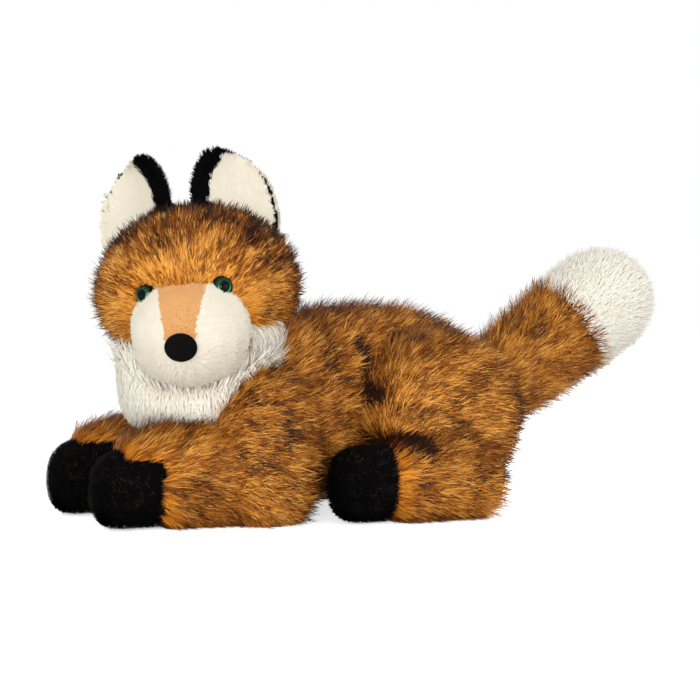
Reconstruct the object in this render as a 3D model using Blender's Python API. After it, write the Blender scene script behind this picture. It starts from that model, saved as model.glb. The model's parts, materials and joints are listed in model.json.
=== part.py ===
"""Plush fox lying on its belly with its head turned to its left, built as a sewn and stuffed toy.

Metres, +Z up. The fox looks along -X, its tail points to +X and its left side is at -Y.
It stands on z = 0, with the middle of its length and width at the origin.
Each skin is a hollow sewn panel, and each core is the fibre fill inside it.
Limbs, head and tail move on stuffed roots that are round about their own axes, so nothing jams.
"""

import math

import bmesh
import bpy
from mathutils import Matrix, Vector
from mathutils.bvhtree import BVHTree

# Cloth and clearances
SKIN = 0.003  # backing cloth with its dense pile
SEAM_GAP = 0.0003  # between two pieces that touch
OVERRUN = 0.012  # how far a cutter runs past what it cuts
WELD = 0.00003  # points nearer than this are one

# Torso
TORSO_FRONT = -0.1215
TORSO_LENGTH = 0.195
TORSO_WIDTH = 0.098
TORSO_HEIGHT = 0.123
BELLY_PANEL_WIDTH = 0.056
BELLY_PANEL_LENGTH = 0.110
BELLY_PANEL_SETBACK = 0.098  # from the front of the trunk to the middle of the panel
BELLY_PANEL_RISE = 0.022
CHEST_PANEL_WIDTH = 0.052
CHEST_PANEL_RISE = 0.091

# White ruff that wraps the neck and the chest
RUFF_RADIUS = 0.048
RUFF_BOTTOM = 0.056
RUFF_HEIGHT = 0.062
RUFF_SETBACK = 0.004  # from the front of the trunk to the middle of the ruff
RUFF_Y = -0.012

# Head, measured in its own frame: local -Y is where it looks, local X its left, local Z up
HEAD_WIDTH = 0.114
HEAD_DEPTH = 0.098
HEAD_HEIGHT = 0.092
HEAD_AHEAD = 0.001  # of the front of the trunk, to the middle of the head
HEAD_Y = -0.022
HEAD_Z = 0.137
HEAD_YAW = math.radians(-31.0)  # about +Z, from looking along -Y
HEAD_ROLL = math.radians(6.0)  # the crown leans to the fox's right
HEAD_DISH_RADIUS = 0.055  # the hollow of the ruff under the head
HEAD_TURN_STEPS = tuple(math.radians(a) for a in (-20.0, -10.0, 0.0, 6.0, 12.0))
HEAD_NOD_STEPS = tuple(math.radians(a) for a in (-8.0, 0.0, 6.0))

# Stuffed neck on which the head nods, and which turns with it
NECK_RADIUS = 0.013
NECK_REACH = 0.008  # below the round underside of the head

# Muzzle, in the head's frame
MUZZLE_WIDTH = 0.066
MUZZLE_HEIGHT = 0.056
MUZZLE_ROOT = 0.012  # where its axis starts, ahead of the head's middle
MUZZLE_REACH = 0.074  # from the head's middle to its tip
MUZZLE_DROP = 0.0175  # its axis below the head's middle
MUZZLE_PITCH = math.radians(13.5)
BRIDGE_WIDTH_AT_EYES = 0.030
BRIDGE_WIDTH_AT_NOSE = 0.019

# Nose and eyes: moulded pieces, each with a stem that a lock washer grips from inside
NOSE_WIDTH = 0.0185
NOSE_LENGTH = 0.0105
NOSE_SINK = 0.0045  # how far the back of the nose lies inside the tip of the muzzle
EYE_DIAMETER = 0.0125
EYE_DOME = 0.0046
EYE_RIM = 0.0012
EYE_DROP = 0.0006  # below the head's middle
EYE_TURN = math.radians(26.5)  # each eye looks this far out from straight ahead
EYE_SINK = 0.0007  # how far the flat back of an eye lies inside the skin
STEM_DIAMETER = 0.004
STEM_LENGTH = 0.012
WASHER_DIAMETER = 0.012
WASHER_THICKNESS = 0.0014
EYE_WASHER_SETBACK = 0.0036  # from the back of an eye to its washer
NOSE_WASHER_SETBACK = 0.0060

# Ears
EAR_WIDTH = 0.058
EAR_HEIGHT = 0.0390
EAR_THICKNESS = 0.0075
EAR_CUP = 0.009
EAR_EDGE = 0.006  # how much narrower the white front is than the black back
EAR_ROLL_RADIUS = 0.0048  # the gathered roll of cloth at the foot of an ear
EAR_OFFSET = 0.0265  # from the middle of the head to the middle of an ear's foot
EAR_BACKSET = 0.004
EAR_SEAT_RISE = 0.0355  # of the ear's foot above the head's middle
EAR_FOOT_SLOPE = math.radians(33.0)
EAR_LEAN = math.radians(15.0)  # outwards, of the middle of the ear
EAR_TURN = math.radians(24.0)  # the white side looks this far outwards
EAR_SHIFT = 0.0035  # both ears sit this far to the fox's right of the head's middle
EAR_FLEX_STEPS = tuple(math.radians(a) for a in (-18.0, 0.0, 18.0))

# Forelegs: a round shoulder that turns about an upright axis, and the arm ahead of it
SHOULDER_SETBACK = 0.027  # from the front of the trunk to the shoulder
SHOULDER_Y = 0.042
SHOULDER_RADIUS = 0.032
SHOULDER_HEIGHT = 0.092
ARM_SETBACK = 0.008  # from the shoulder's axis to where the arm starts
ARM_REACH = 0.101  # from the shoulder's axis to the tip of the paw
ARM_WIDTH = 0.045
ARM_HEIGHT = 0.050
FRONT_PAW_LENGTH = 0.037
ARM_SPREAD_STEPS = tuple(math.radians(a) for a in (0.0, 12.0, 25.0))

# Hind legs: a round haunch that turns about a sideways axis, and the shank folded ahead
HIP_INSET = 0.052  # from the end of the rump to the hip
HIP_Z = 0.060
HAUNCH_RADIUS = 0.049
HAUNCH_INNER = 0.032
HAUNCH_OUTER = 0.080
SHANK_HEEL = 0.028  # behind the hip
SHANK_REACH = 0.082  # ahead of the hip
SHANK_WIDTH = 0.042
SHANK_HEIGHT = 0.048
SHANK_CLEARANCE = 0.001  # between the torso's widest place and the shank
HIND_PAW_LENGTH = 0.030

# Tail
TAIL_ROOT_INSET = 0.005  # from the end of the rump to the middle of the root ball
TAIL_ROOT_Z = 0.062
TAIL_BALL_RADIUS = 0.020
TAIL_LENGTH = 0.147
TAIL_WIDTH = 0.058
TAIL_RISE = math.radians(34.0)
TAIL_TIP_LENGTH = 0.054
TAIL_FOOT = 0.010  # from the middle of the root ball to the foot of the tail
TAIL_WAG = math.radians(20.0)  # each way
TAIL_LIFT = math.radians(15.0)  # each way

# Facets
FORM_FACETS = 20
LIMB_FACETS = 16
SWIVEL_FACETS = 28
SMALL_FACETS = 12
BALL_RINGS = 10
SWIVEL_RINGS = 14
LIMB_SQUARENESS = 2.3
ROUND = 2.0
SHARP_EDGE = math.radians(40.0)
FLAT_ENOUGH = math.radians(0.3)  # faces that differ less than this become one

# Each row: share of the length from the chest, half width as a share of the width,
# underside and back as shares of the height.
TORSO_SHARES = (
    (0.00, 0.00, 0.42, 0.42),
    (0.03, 0.24, 0.14, 0.66),
    (0.09, 0.38, 0.03, 0.78),
    (0.19, 0.48, -0.004, 0.88),
    (0.31, 0.50, 0.03, 0.95),
    (0.42, 0.48, 0.08, 0.99),
    (0.53, 0.46, 0.08, 1.00),
    (0.63, 0.46, 0.02, 1.00),
    (0.73, 0.45, -0.004, 0.985),
    (0.83, 0.43, -0.004, 0.93),
    (0.91, 0.37, 0.06, 0.84),
    (0.97, 0.24, 0.19, 0.70),
    (1.00, 0.00, 0.45, 0.45),
)
# Each row: share of the height from the bottom, radius as a share of the ruff's radius.
RUFF_SHARES = ((0.0, 0.66), (0.08, 0.86), (0.25, 0.98), (0.50, 1.0), (0.78, 0.98), (1.0, 0.92))
# The round underside of the head: angles from straight down, on a ball about its middle.
HEAD_BALL_ANGLES = tuple(math.radians(a) for a in (14.0, 26.0, 38.0))
# Each row above it: share of the height from below, half width and half depth as shares.
HEAD_SHARES = (
    (0.21, 0.375, 0.385),
    (0.35, 0.470, 0.465),
    (0.50, 0.500, 0.495),
    (0.65, 0.470, 0.480),
    (0.79, 0.400, 0.425),
    (0.90, 0.295, 0.325),
    (0.97, 0.165, 0.180),
)
# Each row: share of the length from the root, half width and half height as the same share.
MUZZLE_SHARES = (
    (0.00, 0.46),
    (0.30, 0.50),
    (0.52, 0.49),
    (0.70, 0.43),
    (0.84, 0.33),
    (0.94, 0.21),
    (1.00, 0.00),
)
# Each row: share of the height from the foot, half width, lean outwards and half thickness.
EAR_SHARES = (
    (0.00, 0.42, 0.00, 0.50),
    (0.18, 0.49, 0.02, 0.50),
    (0.40, 0.50, 0.02, 0.50),
    (0.60, 0.46, 0.01, 0.48),
    (0.78, 0.40, 0.00, 0.44),
    (0.91, 0.31, 0.00, 0.38),
    (1.00, 0.17, 0.00, 0.26),
)
EAR_ACROSS_SHARES = (-1.0, -0.7, -0.35, 0.0, 0.35, 0.7, 1.0)
EAR_RIM_SHARE = 0.25  # thickness at the rim, as a share of that in the middle
# Each row: share of the height from the floor, radius as a share of the shoulder's radius.
SHOULDER_SHARES = (
    (0.00, 0.66),
    (0.09, 0.88),
    (0.30, 0.99),
    (0.58, 0.99),
    (0.78, 0.90),
    (0.93, 0.60),
    (1.00, 0.00),
)
# Each row: share of the width from the inner face, radius as a share of the haunch's radius.
HAUNCH_SHARES = (
    (0.00, 0.93),
    (0.10, 0.99),
    (0.35, 1.00),
    (0.58, 0.94),
    (0.78, 0.77),
    (0.92, 0.50),
    (1.00, 0.00),
)
# Each row: share of the length from the root, half width, underside and top as shares.
ARM_SHARES = (
    (0.00, 0.40, 0.00, 0.90),
    (0.20, 0.48, -0.01, 1.13),
    (0.42, 0.49, -0.01, 1.12),
    (0.64, 0.47, -0.01, 1.03),
    (0.82, 0.48, -0.01, 0.95),
    (0.92, 0.44, 0.03, 0.86),
    (0.98, 0.28, 0.16, 0.70),
    (1.00, 0.00, 0.43, 0.43),
)
SHANK_SHARES = (
    (0.00, 0.00, 0.50, 0.50),
    (0.05, 0.30, 0.16, 0.84),
    (0.14, 0.42, 0.00, 0.98),
    (0.32, 0.48, -0.01, 1.02),
    (0.52, 0.49, -0.01, 0.98),
    (0.72, 0.50, -0.01, 0.98),
    (0.86, 0.49, -0.01, 0.97),
    (0.95, 0.40, 0.08, 0.87),
    (1.00, 0.00, 0.47, 0.47),
)
# Each row: share of the length from the foot, radius as a share of the tail's width.
TAIL_SHARES = (
    (0.00, 0.37),
    (0.15, 0.42),
    (0.32, 0.46),
    (0.50, 0.48),
    (0.68, 0.495),
    (0.80, 0.50),
    (0.91, 0.40),
    (0.97, 0.24),
    (1.00, 0.00),
)
# Each row of a dome: share of its height, share of its radius.
DOME_SHARES = ((0.35, 0.94), (0.72, 0.68), (1.0, 0.0))
# Each row of the nose from its flat back: share of its length, share of its half width.
NOSE_SHARES = ((0.0, 0.72), (0.25, 0.95), (0.50, 1.0), (0.75, 0.84), (0.93, 0.48), (1.0, 0.0))

MATERIALS = {
    # name: (base colour, roughness, metallic)
    "amber_fur": ((0.55, 0.26, 0.07, 1.0), 0.9, 0.0),
    "white_plush": ((0.86, 0.83, 0.76, 1.0), 0.95, 0.0),
    "black_plush": ((0.012, 0.011, 0.011, 1.0), 0.95, 0.0),
    "tan_plush": ((0.72, 0.40, 0.15, 1.0), 0.95, 0.0),
    "fibre_fill": ((0.90, 0.90, 0.88, 1.0), 1.0, 0.0),
    "nose_flock": ((0.010, 0.009, 0.009, 1.0), 0.8, 0.0),
    "eye_acrylic": ((0.01, 0.10, 0.06, 1.0), 0.08, 0.0),
    "washer_plastic": ((0.80, 0.80, 0.78, 1.0), 0.45, 0.0),
}

UP = Vector((0, 0, 1))


def clear_scene():
    """Removes whatever the scene holds, so that only the fox is in it."""
    for obj in list(bpy.data.objects):
        bpy.data.objects.remove(obj)


def material(name):
    """The named Principled material, made the first time it is asked for."""
    found = bpy.data.materials.get(name)
    if found:
        return found
    colour, roughness, metallic = MATERIALS[name]
    found = bpy.data.materials.new(name)
    found.use_nodes = True
    shader = found.node_tree.nodes["Principled BSDF"]
    shader.inputs["Base Color"].default_value = colour
    shader.inputs["Roughness"].default_value = roughness
    shader.inputs["Metallic"].default_value = metallic
    return found


def object_of(bm, name):
    """A linked object that holds this bmesh, with its faces pointing outwards."""
    bmesh.ops.recalc_face_normals(bm, faces=bm.faces)
    mesh = bpy.data.meshes.new(name)
    bm.to_mesh(mesh)
    bm.free()
    obj = bpy.data.objects.new(name, mesh)
    bpy.context.scene.collection.objects.link(obj)
    return obj


def loft(rings, start=None, end=None):
    """A closed body of triangles through rings of points.

    start and end are its poles, and an end without a pole is a flat face.
    """
    bm = bmesh.new()
    rows = [[bm.verts.new(point) for point in points] for points in rings]
    for low, high in zip(rows, rows[1:]):
        for i in range(len(low)):
            j = (i + 1) % len(low)
            bm.faces.new((low[i], low[j], high[j]))
            bm.faces.new((low[i], high[j], high[i]))
    for row, pole in ((rows[0], start), (rows[-1], end)):
        if pole is None:
            bm.faces.new(row)
            continue
        tip = bm.verts.new(pole)
        for i in range(len(row)):
            bm.faces.new((row[i], row[(i + 1) % len(row)], tip))
    bmesh.ops.recalc_face_normals(bm, faces=bm.faces)
    return bm


def grow(bm, distance):
    """Moves each vertex out along its normal. A negative distance gives the inside of a skin."""
    bm.normal_update()
    moves = [(vert, vert.normal.copy()) for vert in bm.verts]
    for vert, normal in moves:
        vert.co += normal * distance
    return bm


def moved(bm, matrix):
    """The same bmesh after this matrix."""
    bm.transform(matrix)
    return bm


def about(pivot, axis, angle):
    """The matrix of a turn about an axis through the pivot."""
    place = Matrix.Translation(pivot)
    return place @ Matrix.Rotation(angle, 4, axis) @ place.inverted()


def ring(middle, across, upward, half_across, half_upward, facets, squareness=ROUND):
    """A superellipse of points about middle, with flat facets at its four sides."""
    points = []
    for i in range(facets):
        turn = math.tau * (i + 0.5) / facets
        c, s = math.cos(turn), math.sin(turn)
        x = math.copysign(abs(c) ** (ROUND / squareness), c) * half_across
        y = math.copysign(abs(s) ** (ROUND / squareness), s) * half_upward
        points.append(middle + across * x + upward * y)
    return points


def lengthwise_form(start, step, side, width, height, shares, facets):
    """A stuffed form on the floor, along X from start over step, with the Y of its middle at side.

    Each row of shares holds: along, half width, underside, top.
    """
    rings, poles = [], {}
    for i, (along, half, under, top) in enumerate(shares):
        middle = Vector((start + step * along, side, height * (under + top) / 2))
        if half == 0:
            poles[i] = middle
            continue
        across, half_height = Vector((0, 1, 0)), height * (top - under) / 2
        rings.append(ring(middle, across, UP, width * half, half_height, facets, LIMB_SQUARENESS))
    return loft(rings, poles.get(0), poles.get(len(shares) - 1))


def turned_form(foot, axis, rows, facets):
    """A body of revolution from foot along axis: rows are (distance, radius), and radius 0 is a pole."""
    axis = axis.normalized()
    across = axis.orthogonal().normalized()
    upward = axis.cross(across)
    rings, poles = [], {}
    for i, (distance, radius) in enumerate(rows):
        middle = foot + axis * distance
        if radius <= 0:
            poles[i] = middle
            continue
        rings.append(ring(middle, across, upward, radius, radius, facets))
    return loft(rings, poles.get(0), poles.get(len(rows) - 1))


def around(radius, facets):
    """The radius of a faceted circle whose facets all lie outside a circle of this radius."""
    return radius / math.cos(math.pi / facets)


def ball(middle, radius, facets=FORM_FACETS, rings=BALL_RINGS):
    """A sphere with its poles on Z."""
    rows = []
    for i in range(rings + 1):
        turn = math.pi * i / rings
        on_pole = i in (0, rings)
        rows.append((radius - radius * math.cos(turn), 0 if on_pole else radius * math.sin(turn)))
    return turned_form(middle - UP * radius, UP, rows, facets)


def socket(middle, radius):
    """A sphere that cuts room for a ball of this radius to turn every way."""
    radius = around(around(radius, SWIVEL_FACETS), SWIVEL_RINGS * 2) + SEAM_GAP
    return ball(middle, radius, SWIVEL_FACETS, SWIVEL_RINGS)


def cylinder(foot, axis, length, radius, facets=SMALL_FACETS):
    """A plain cylinder from foot along axis."""
    return turned_form(foot, axis, [(0, radius), (length, radius)], facets)


def block(low, high):
    """A box between two corners."""
    bm = bmesh.new()
    bmesh.ops.create_cube(bm, size=1)
    low, high = Vector(low), Vector(high)
    for vert in bm.verts:
        vert.co = Vector([(v + 0.5) * (h - l) + l for v, l, h in zip(vert.co, low, high)])
    return bm


def settle(obj):
    """Makes the object's evaluated mesh its own mesh."""
    graph = bpy.context.evaluated_depsgraph_get()
    mesh = bpy.data.meshes.new_from_object(obj.evaluated_get(graph))
    obj.modifiers.clear()
    obj.data = mesh


def boolean(obj, operation, *others):
    """Cuts the object by each bmesh, joins it to them or keeps what they share."""
    for bm in others:
        tool = object_of(bm, "tool")
        modifier = obj.modifiers.new("boolean", "BOOLEAN")
        modifier.operation, modifier.object, modifier.solver = operation, tool, "EXACT"
        settle(obj)
        bpy.data.objects.remove(tool)
    return obj


def cut(obj, *others):
    """Takes each bmesh away from the object."""
    return boolean(obj, "DIFFERENCE", *others)


def joined(first, *others):
    """The union of several bmeshes, as one bmesh."""
    obj = boolean(object_of(first, "joined"), "UNION", *others)
    bm = bmesh.new()
    bm.from_mesh(obj.data)
    bpy.data.objects.remove(obj)
    return bm


def below_floor():
    """A slab under z = 0 that presses the undersides flat."""
    reach = TORSO_LENGTH + TAIL_LENGTH
    return block((-reach, -reach, -OVERRUN), (reach, reach, 0))


def half_space(point, normal, gap):
    """A large box on the side of a plane to which its normal points, set off from it by gap."""
    reach = TORSO_LENGTH + TAIL_LENGTH
    turn = UP.rotation_difference(Vector(normal)).to_matrix().to_4x4()
    return moved(block((-reach, -reach, gap), (reach, reach, reach)), Matrix.Translation(point) @ turn)


def weld(obj):
    """Closes up the slivers that cuts leave."""
    bm = bmesh.new()
    bm.from_mesh(obj.data)
    bmesh.ops.remove_doubles(bm, verts=bm.verts, dist=WELD)
    bmesh.ops.dissolve_degenerate(bm, edges=bm.edges, dist=WELD)
    bmesh.ops.dissolve_limit(bm, verts=bm.verts, edges=bm.edges, angle_limit=FLAT_ENOUGH)
    bmesh.ops.triangulate(bm, faces=bm.faces)
    bm.to_mesh(obj.data)
    bm.free()


def finish(obj, name, finish_name, pivot=None):
    """Names the object, dresses it and moves its origin to the pivot of its joint."""
    weld(obj)
    obj.name = obj.data.name = name
    obj.data.materials.clear()
    obj.data.materials.append(material(finish_name))
    obj.data.shade_smooth()
    obj.data.set_sharp_from_angle(angle=SHARP_EDGE)
    if pivot is not None:
        obj.data.transform(Matrix.Translation(-pivot))
        obj.location = pivot
    return obj


def skin_and_core(form, *sizes):
    """The two plain solids of a stuffed form: its hollow skin, and the fibre core that fills it."""
    skin = cut(object_of(form(*sizes, 0.0), "skin"), form(*sizes, -SKIN))
    core = object_of(form(*sizes, -SKIN - SEAM_GAP), "core")
    return skin, core


def copy_of(obj):
    """A second object with its own copy of the mesh."""
    twin = obj.copy()
    twin.data = obj.data.copy()
    bpy.context.scene.collection.objects.link(twin)
    return twin


def split(obj, point, normal):
    """Parts an object along a plane, with a seam's gap: the side that the normal points to comes second."""
    normal = Vector(normal)
    far = boolean(copy_of(obj), "INTERSECT", half_space(point, normal, SEAM_GAP / 2))
    cut(obj, half_space(point, normal, -SEAM_GAP / 2))
    return obj, far


# Places


def side_name(side):
    """side is -1 for the fox's left and 1 for its right."""
    return "left" if side < 0 else "right"


def head_pivot():
    """The middle of the head, about which it turns and nods."""
    return Vector((TORSO_FRONT - HEAD_AHEAD, HEAD_Y, HEAD_Z))


def head_frame():
    """The matrix from the head's own frame to the fox."""
    turn = Matrix.Rotation(HEAD_YAW, 4, "Z") @ Matrix.Rotation(-HEAD_ROLL, 4, "Y")
    return Matrix.Translation(head_pivot()) @ turn


def head_lateral():
    """The sideways axis about which the head nods."""
    return head_frame().to_3x3() @ Vector((1, 0, 0))


def muzzle_nodded(growth):
    """The muzzle with the nose as low as the nod allows."""
    return moved(muzzle_form(growth), about(head_pivot(), head_lateral(), HEAD_NOD_STEPS[-1]))


def tail_pivot():
    """The middle of the ball on which the tail moves."""
    return Vector((TORSO_FRONT + TORSO_LENGTH - TAIL_ROOT_INSET, 0, TAIL_ROOT_Z))


def tail_axis():
    """The way the tail points."""
    return Vector((math.cos(TAIL_RISE), 0, math.sin(TAIL_RISE)))


def shoulder_pivot(side):
    """A point on the shoulder's upright axis."""
    return Vector((TORSO_FRONT + SHOULDER_SETBACK, side * SHOULDER_Y, 0))


def hip_pivot(side):
    """A point on the hip's sideways axis."""
    return Vector((TORSO_FRONT + TORSO_LENGTH - HIP_INSET, side * HAUNCH_INNER, HIP_Z))


# Forms


def torso_form(growth):
    """The trunk from chest to rump."""
    bm = lengthwise_form(
        TORSO_FRONT, TORSO_LENGTH, 0, TORSO_WIDTH, TORSO_HEIGHT, TORSO_SHARES, FORM_FACETS
    )
    return grow(bm, growth)


def ruff_form(growth):
    """The barrel of white pile round neck and chest."""
    rows = [(RUFF_HEIGHT * along, RUFF_RADIUS * radius) for along, radius in RUFF_SHARES]
    foot = Vector((TORSO_FRONT + RUFF_SETBACK, RUFF_Y, RUFF_BOTTOM))
    return grow(turned_form(foot, UP, rows, FORM_FACETS), growth)


def cranium_form(growth):
    """The head without its muzzle: a ball below, and wide cheeks and a crown above."""
    rows = []
    radius = HEAD_HEIGHT / 2
    for angle in HEAD_BALL_ANGLES:
        rows.append((-radius * math.cos(angle), radius * math.sin(angle), radius * math.sin(angle)))
    for along, half_width, half_depth in HEAD_SHARES:
        rows.append((HEAD_HEIGHT * along - radius, HEAD_WIDTH * half_width, HEAD_DEPTH * half_depth))
    rings = []
    for rise, half_width, half_depth in rows:
        across, ahead = Vector((1, 0, 0)), Vector((0, 1, 0))
        rings.append(ring(UP * rise, across, ahead, half_width, half_depth, FORM_FACETS))
    return moved(grow(loft(rings, UP * -radius, UP * radius), growth), head_frame())


def muzzle_frame():
    """The matrix from the muzzle's frame to the fox: local -Y runs along the muzzle from its root."""
    root = Matrix.Translation((0, -MUZZLE_ROOT, -MUZZLE_DROP))
    return head_frame() @ root @ Matrix.Rotation(MUZZLE_PITCH, 4, "X")


def muzzle_form(growth):
    """The snout from inside the head to its tip."""
    length = MUZZLE_REACH - MUZZLE_ROOT
    rings, pole = [], None
    for along, half in MUZZLE_SHARES:
        middle = Vector((0, -length * along, 0))
        if half == 0:
            pole = middle
            continue
        across, wide, high = Vector((1, 0, 0)), MUZZLE_WIDTH * half, MUZZLE_HEIGHT * half
        rings.append(ring(middle, across, UP, wide, high, LIMB_FACETS))
    return moved(grow(loft(rings, None, pole), growth), muzzle_frame())


def shoulder_form(side, growth, facets=LIMB_FACETS):
    """The round root of a foreleg, about its upright axis."""
    rows = [(SHOULDER_HEIGHT * up, SHOULDER_RADIUS * share) for up, share in SHOULDER_SHARES]
    return grow(turned_form(shoulder_pivot(side), UP, rows, facets), growth)


def foreleg_form(side, growth):
    """A foreleg: its round shoulder joined to the arm that lies ahead on the floor."""
    shoulder = shoulder_pivot(side)
    start, step = shoulder.x - ARM_SETBACK, ARM_SETBACK - ARM_REACH
    arm = lengthwise_form(start, step, shoulder.y, ARM_WIDTH, ARM_HEIGHT, ARM_SHARES, LIMB_FACETS)
    return joined(shoulder_form(side, growth), grow(arm, growth))


def haunch_form(side, growth, facets=LIMB_FACETS):
    """The round root of a hind leg, about its sideways axis."""
    width = HAUNCH_OUTER - HAUNCH_INNER
    rows = [(width * along, HAUNCH_RADIUS * share) for along, share in HAUNCH_SHARES]
    return grow(turned_form(hip_pivot(side), Vector((0, side, 0)), rows, facets), growth)


def hind_leg_form(side, growth):
    """A hind leg: its haunch joined to the shank that lies folded ahead, clear of the trunk."""
    middle = side * (TORSO_WIDTH / 2 + SHANK_CLEARANCE + SHANK_WIDTH / 2)
    heel, step = hip_pivot(side).x + SHANK_HEEL, -SHANK_HEEL - SHANK_REACH
    shank = lengthwise_form(heel, step, middle, SHANK_WIDTH, SHANK_HEIGHT, SHANK_SHARES, LIMB_FACETS)
    return joined(haunch_form(side, growth), grow(shank, growth))


def tail_form(growth):
    """The tail from its foot, just outside the root ball, to its tip."""
    length = TAIL_LENGTH - TAIL_FOOT
    rows = [(length * along, TAIL_WIDTH * radius) for along, radius in TAIL_SHARES]
    return grow(turned_form(tail_pivot() + tail_axis() * TAIL_FOOT, tail_axis(), rows, LIMB_FACETS), growth)


def swivel_room(form, side, radius):
    """A round root with finer facets, grown so that the root turns freely inside it."""
    return form(side, around(radius, SWIVEL_FACETS) - radius + SEAM_GAP, SWIVEL_FACETS)


def leg_rooms():
    """What the trunk and the ruff leave free for the four legs as they move."""
    for side in (-1, 1):
        yield swivel_room(shoulder_form, side, SHOULDER_RADIUS)
        yield swivel_room(haunch_form, side, HAUNCH_RADIUS)
        for spread in ARM_SPREAD_STEPS:
            yield moved(foreleg_form(side, SEAM_GAP), about(shoulder_pivot(side), UP, side * -spread))


def head_rooms():
    """What the trunk and the ruff leave free for the head as it moves."""
    yield socket(head_pivot(), HEAD_DISH_RADIUS)
    for turn in HEAD_TURN_STEPS:
        yield moved(muzzle_nodded(SEAM_GAP), about(head_pivot(), UP, turn))


def tail_rooms():
    """What the rump leaves free for the tail and its root ball as they move."""
    yield socket(tail_pivot(), TAIL_BALL_RADIUS)
    tilt = math.acos(math.cos(TAIL_WAG) * math.cos(TAIL_LIFT))
    rows = []
    for along, share in TAIL_SHARES[:4]:
        ahead = TAIL_FOOT + (TAIL_LENGTH - TAIL_FOOT) * along
        out = around(TAIL_WIDTH * share, LIMB_FACETS) + SEAM_GAP
        tilted = Matrix.Rotation(tilt, 2) @ Vector((ahead, out))
        rows.append((tilted.x, tilted.y))
    yield turned_form(tail_pivot(), tail_axis(), rows, LIMB_FACETS)


def neck_form(growth, facets=SWIVEL_FACETS):
    """The stuffed neck under the head, before the head's hollow is cut into it."""
    length = HEAD_HEIGHT / 2 + NECK_REACH
    return grow(cylinder(head_pivot() - UP * length, UP, length, NECK_RADIUS, facets), growth)


# Sub-assemblies


def trim_crumbs(obj):
    """Keeps only the largest body of an object, without the crumbs that a cut leaves beside it."""
    bm = bmesh.new()
    bm.from_mesh(obj.data)
    left, bodies = set(bm.verts), []
    while left:
        body, edge = set(), [left.pop()]
        while edge:
            vert = edge.pop()
            body.add(vert)
            near = {link.other_vert(vert) for link in vert.link_edges} & left
            left -= near
            edge.extend(near)
        bodies.append(body)
    largest = max(bodies, key=len)
    bmesh.ops.delete(bm, geom=[vert for vert in bm.verts if vert not in largest], context="VERTS")
    bm.to_mesh(obj.data)
    bm.free()


def panel_of(skin, low, high):
    """Takes the panel between two corners out of a skin, with a seam's gap round it."""
    panel = boolean(copy_of(skin), "INTERSECT", block(low, high))
    gap = Vector((SEAM_GAP, SEAM_GAP, SEAM_GAP))
    cut(skin, block(low - gap, high + gap))
    return panel


def build_torso():
    """The trunk's skin in two halves with a belly panel, and its core."""
    skin, core = skin_and_core(torso_form)
    neck_growth = around(NECK_RADIUS, SWIVEL_FACETS) - NECK_RADIUS + SEAM_GAP
    for piece in (skin, core):
        cut(piece, below_floor(), *leg_rooms(), *head_rooms(), *tail_rooms(), neck_form(neck_growth))
    half_length, half_width = BELLY_PANEL_LENGTH / 2, BELLY_PANEL_WIDTH / 2
    low = Vector((TORSO_FRONT + BELLY_PANEL_SETBACK - half_length, -half_width, -OVERRUN))
    high = Vector((TORSO_FRONT + BELLY_PANEL_SETBACK + half_length, half_width, BELLY_PANEL_RISE))
    belly = panel_of(skin, low, high)
    half_width = CHEST_PANEL_WIDTH / 2
    ahead = Vector((TORSO_FRONT - OVERRUN, -half_width, -OVERRUN))
    chest = panel_of(skin, ahead, Vector((low.x - SEAM_GAP, half_width, CHEST_PANEL_RISE)))
    trim_crumbs(chest)
    left, right = split(skin, (0, 0, 0), (0, 1, 0))
    finish(left, "torso_skin_left", "amber_fur")
    finish(right, "torso_skin_right", "amber_fur")
    finish(belly, "belly_panel", "white_plush")
    finish(chest, "chest_panel", "white_plush")
    finish(core, "torso_core", "fibre_fill")


def build_ruff():
    """The white ruff, cut by the trunk, the legs and the head, and the neck that stands in it."""
    neck_growth = around(NECK_RADIUS, SWIVEL_FACETS) - NECK_RADIUS + SEAM_GAP
    ruff = object_of(ruff_form(0.0), "ruff")
    cut(ruff, torso_form(SEAM_GAP), *leg_rooms(), *head_rooms(), neck_form(neck_growth))
    finish(ruff, "neck_ruff", "white_plush")
    neck = cut(object_of(neck_form(0.0), "neck"), socket(head_pivot(), HEAD_HEIGHT / 2))
    cut(neck, muzzle_nodded(SEAM_GAP))
    finish(neck, "neck_core", "fibre_fill", head_pivot())


def lathed(rows, matrix, facets=SMALL_FACETS):
    """A small turned piece along local -Y of a matrix."""
    return moved(turned_form(Vector((0, 0, 0)), Vector((0, -1, 0)), rows, facets), matrix)


def eye_form(matrix, growth):
    """An eye: its stem, its flat back, its rim and its dome."""
    radius = EYE_DIAMETER / 2
    rows = [(-STEM_LENGTH, STEM_DIAMETER / 2), (0, STEM_DIAMETER / 2), (0, radius), (EYE_RIM, radius)]
    rows += [(EYE_RIM + EYE_DOME * up, radius * share) for up, share in DOME_SHARES]
    return grow(lathed(rows, matrix, LIMB_FACETS), growth)


def nose_form(matrix, growth):
    """The nose: its stem and its rounded body."""
    radius = NOSE_WIDTH / 2
    rows = [(-STEM_LENGTH, STEM_DIAMETER / 2), (0, STEM_DIAMETER / 2)]
    rows += [(NOSE_LENGTH * along, radius * share) for along, share in NOSE_SHARES]
    return grow(lathed(rows, matrix, LIMB_FACETS), growth)


def seat_room(matrix, radius):
    """What a moulded piece cuts out of the cloth in front of its flat back."""
    return lathed([(-SEAM_GAP, radius + SEAM_GAP), (OVERRUN, radius + SEAM_GAP)], matrix, LIMB_FACETS)


def washer_form(matrix, setback, growth):
    """A lock washer on a stem, without its bore."""
    rows = [(-setback, WASHER_DIAMETER / 2), (-setback - WASHER_THICKNESS, WASHER_DIAMETER / 2)]
    return grow(lathed(rows, matrix), growth)


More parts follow.
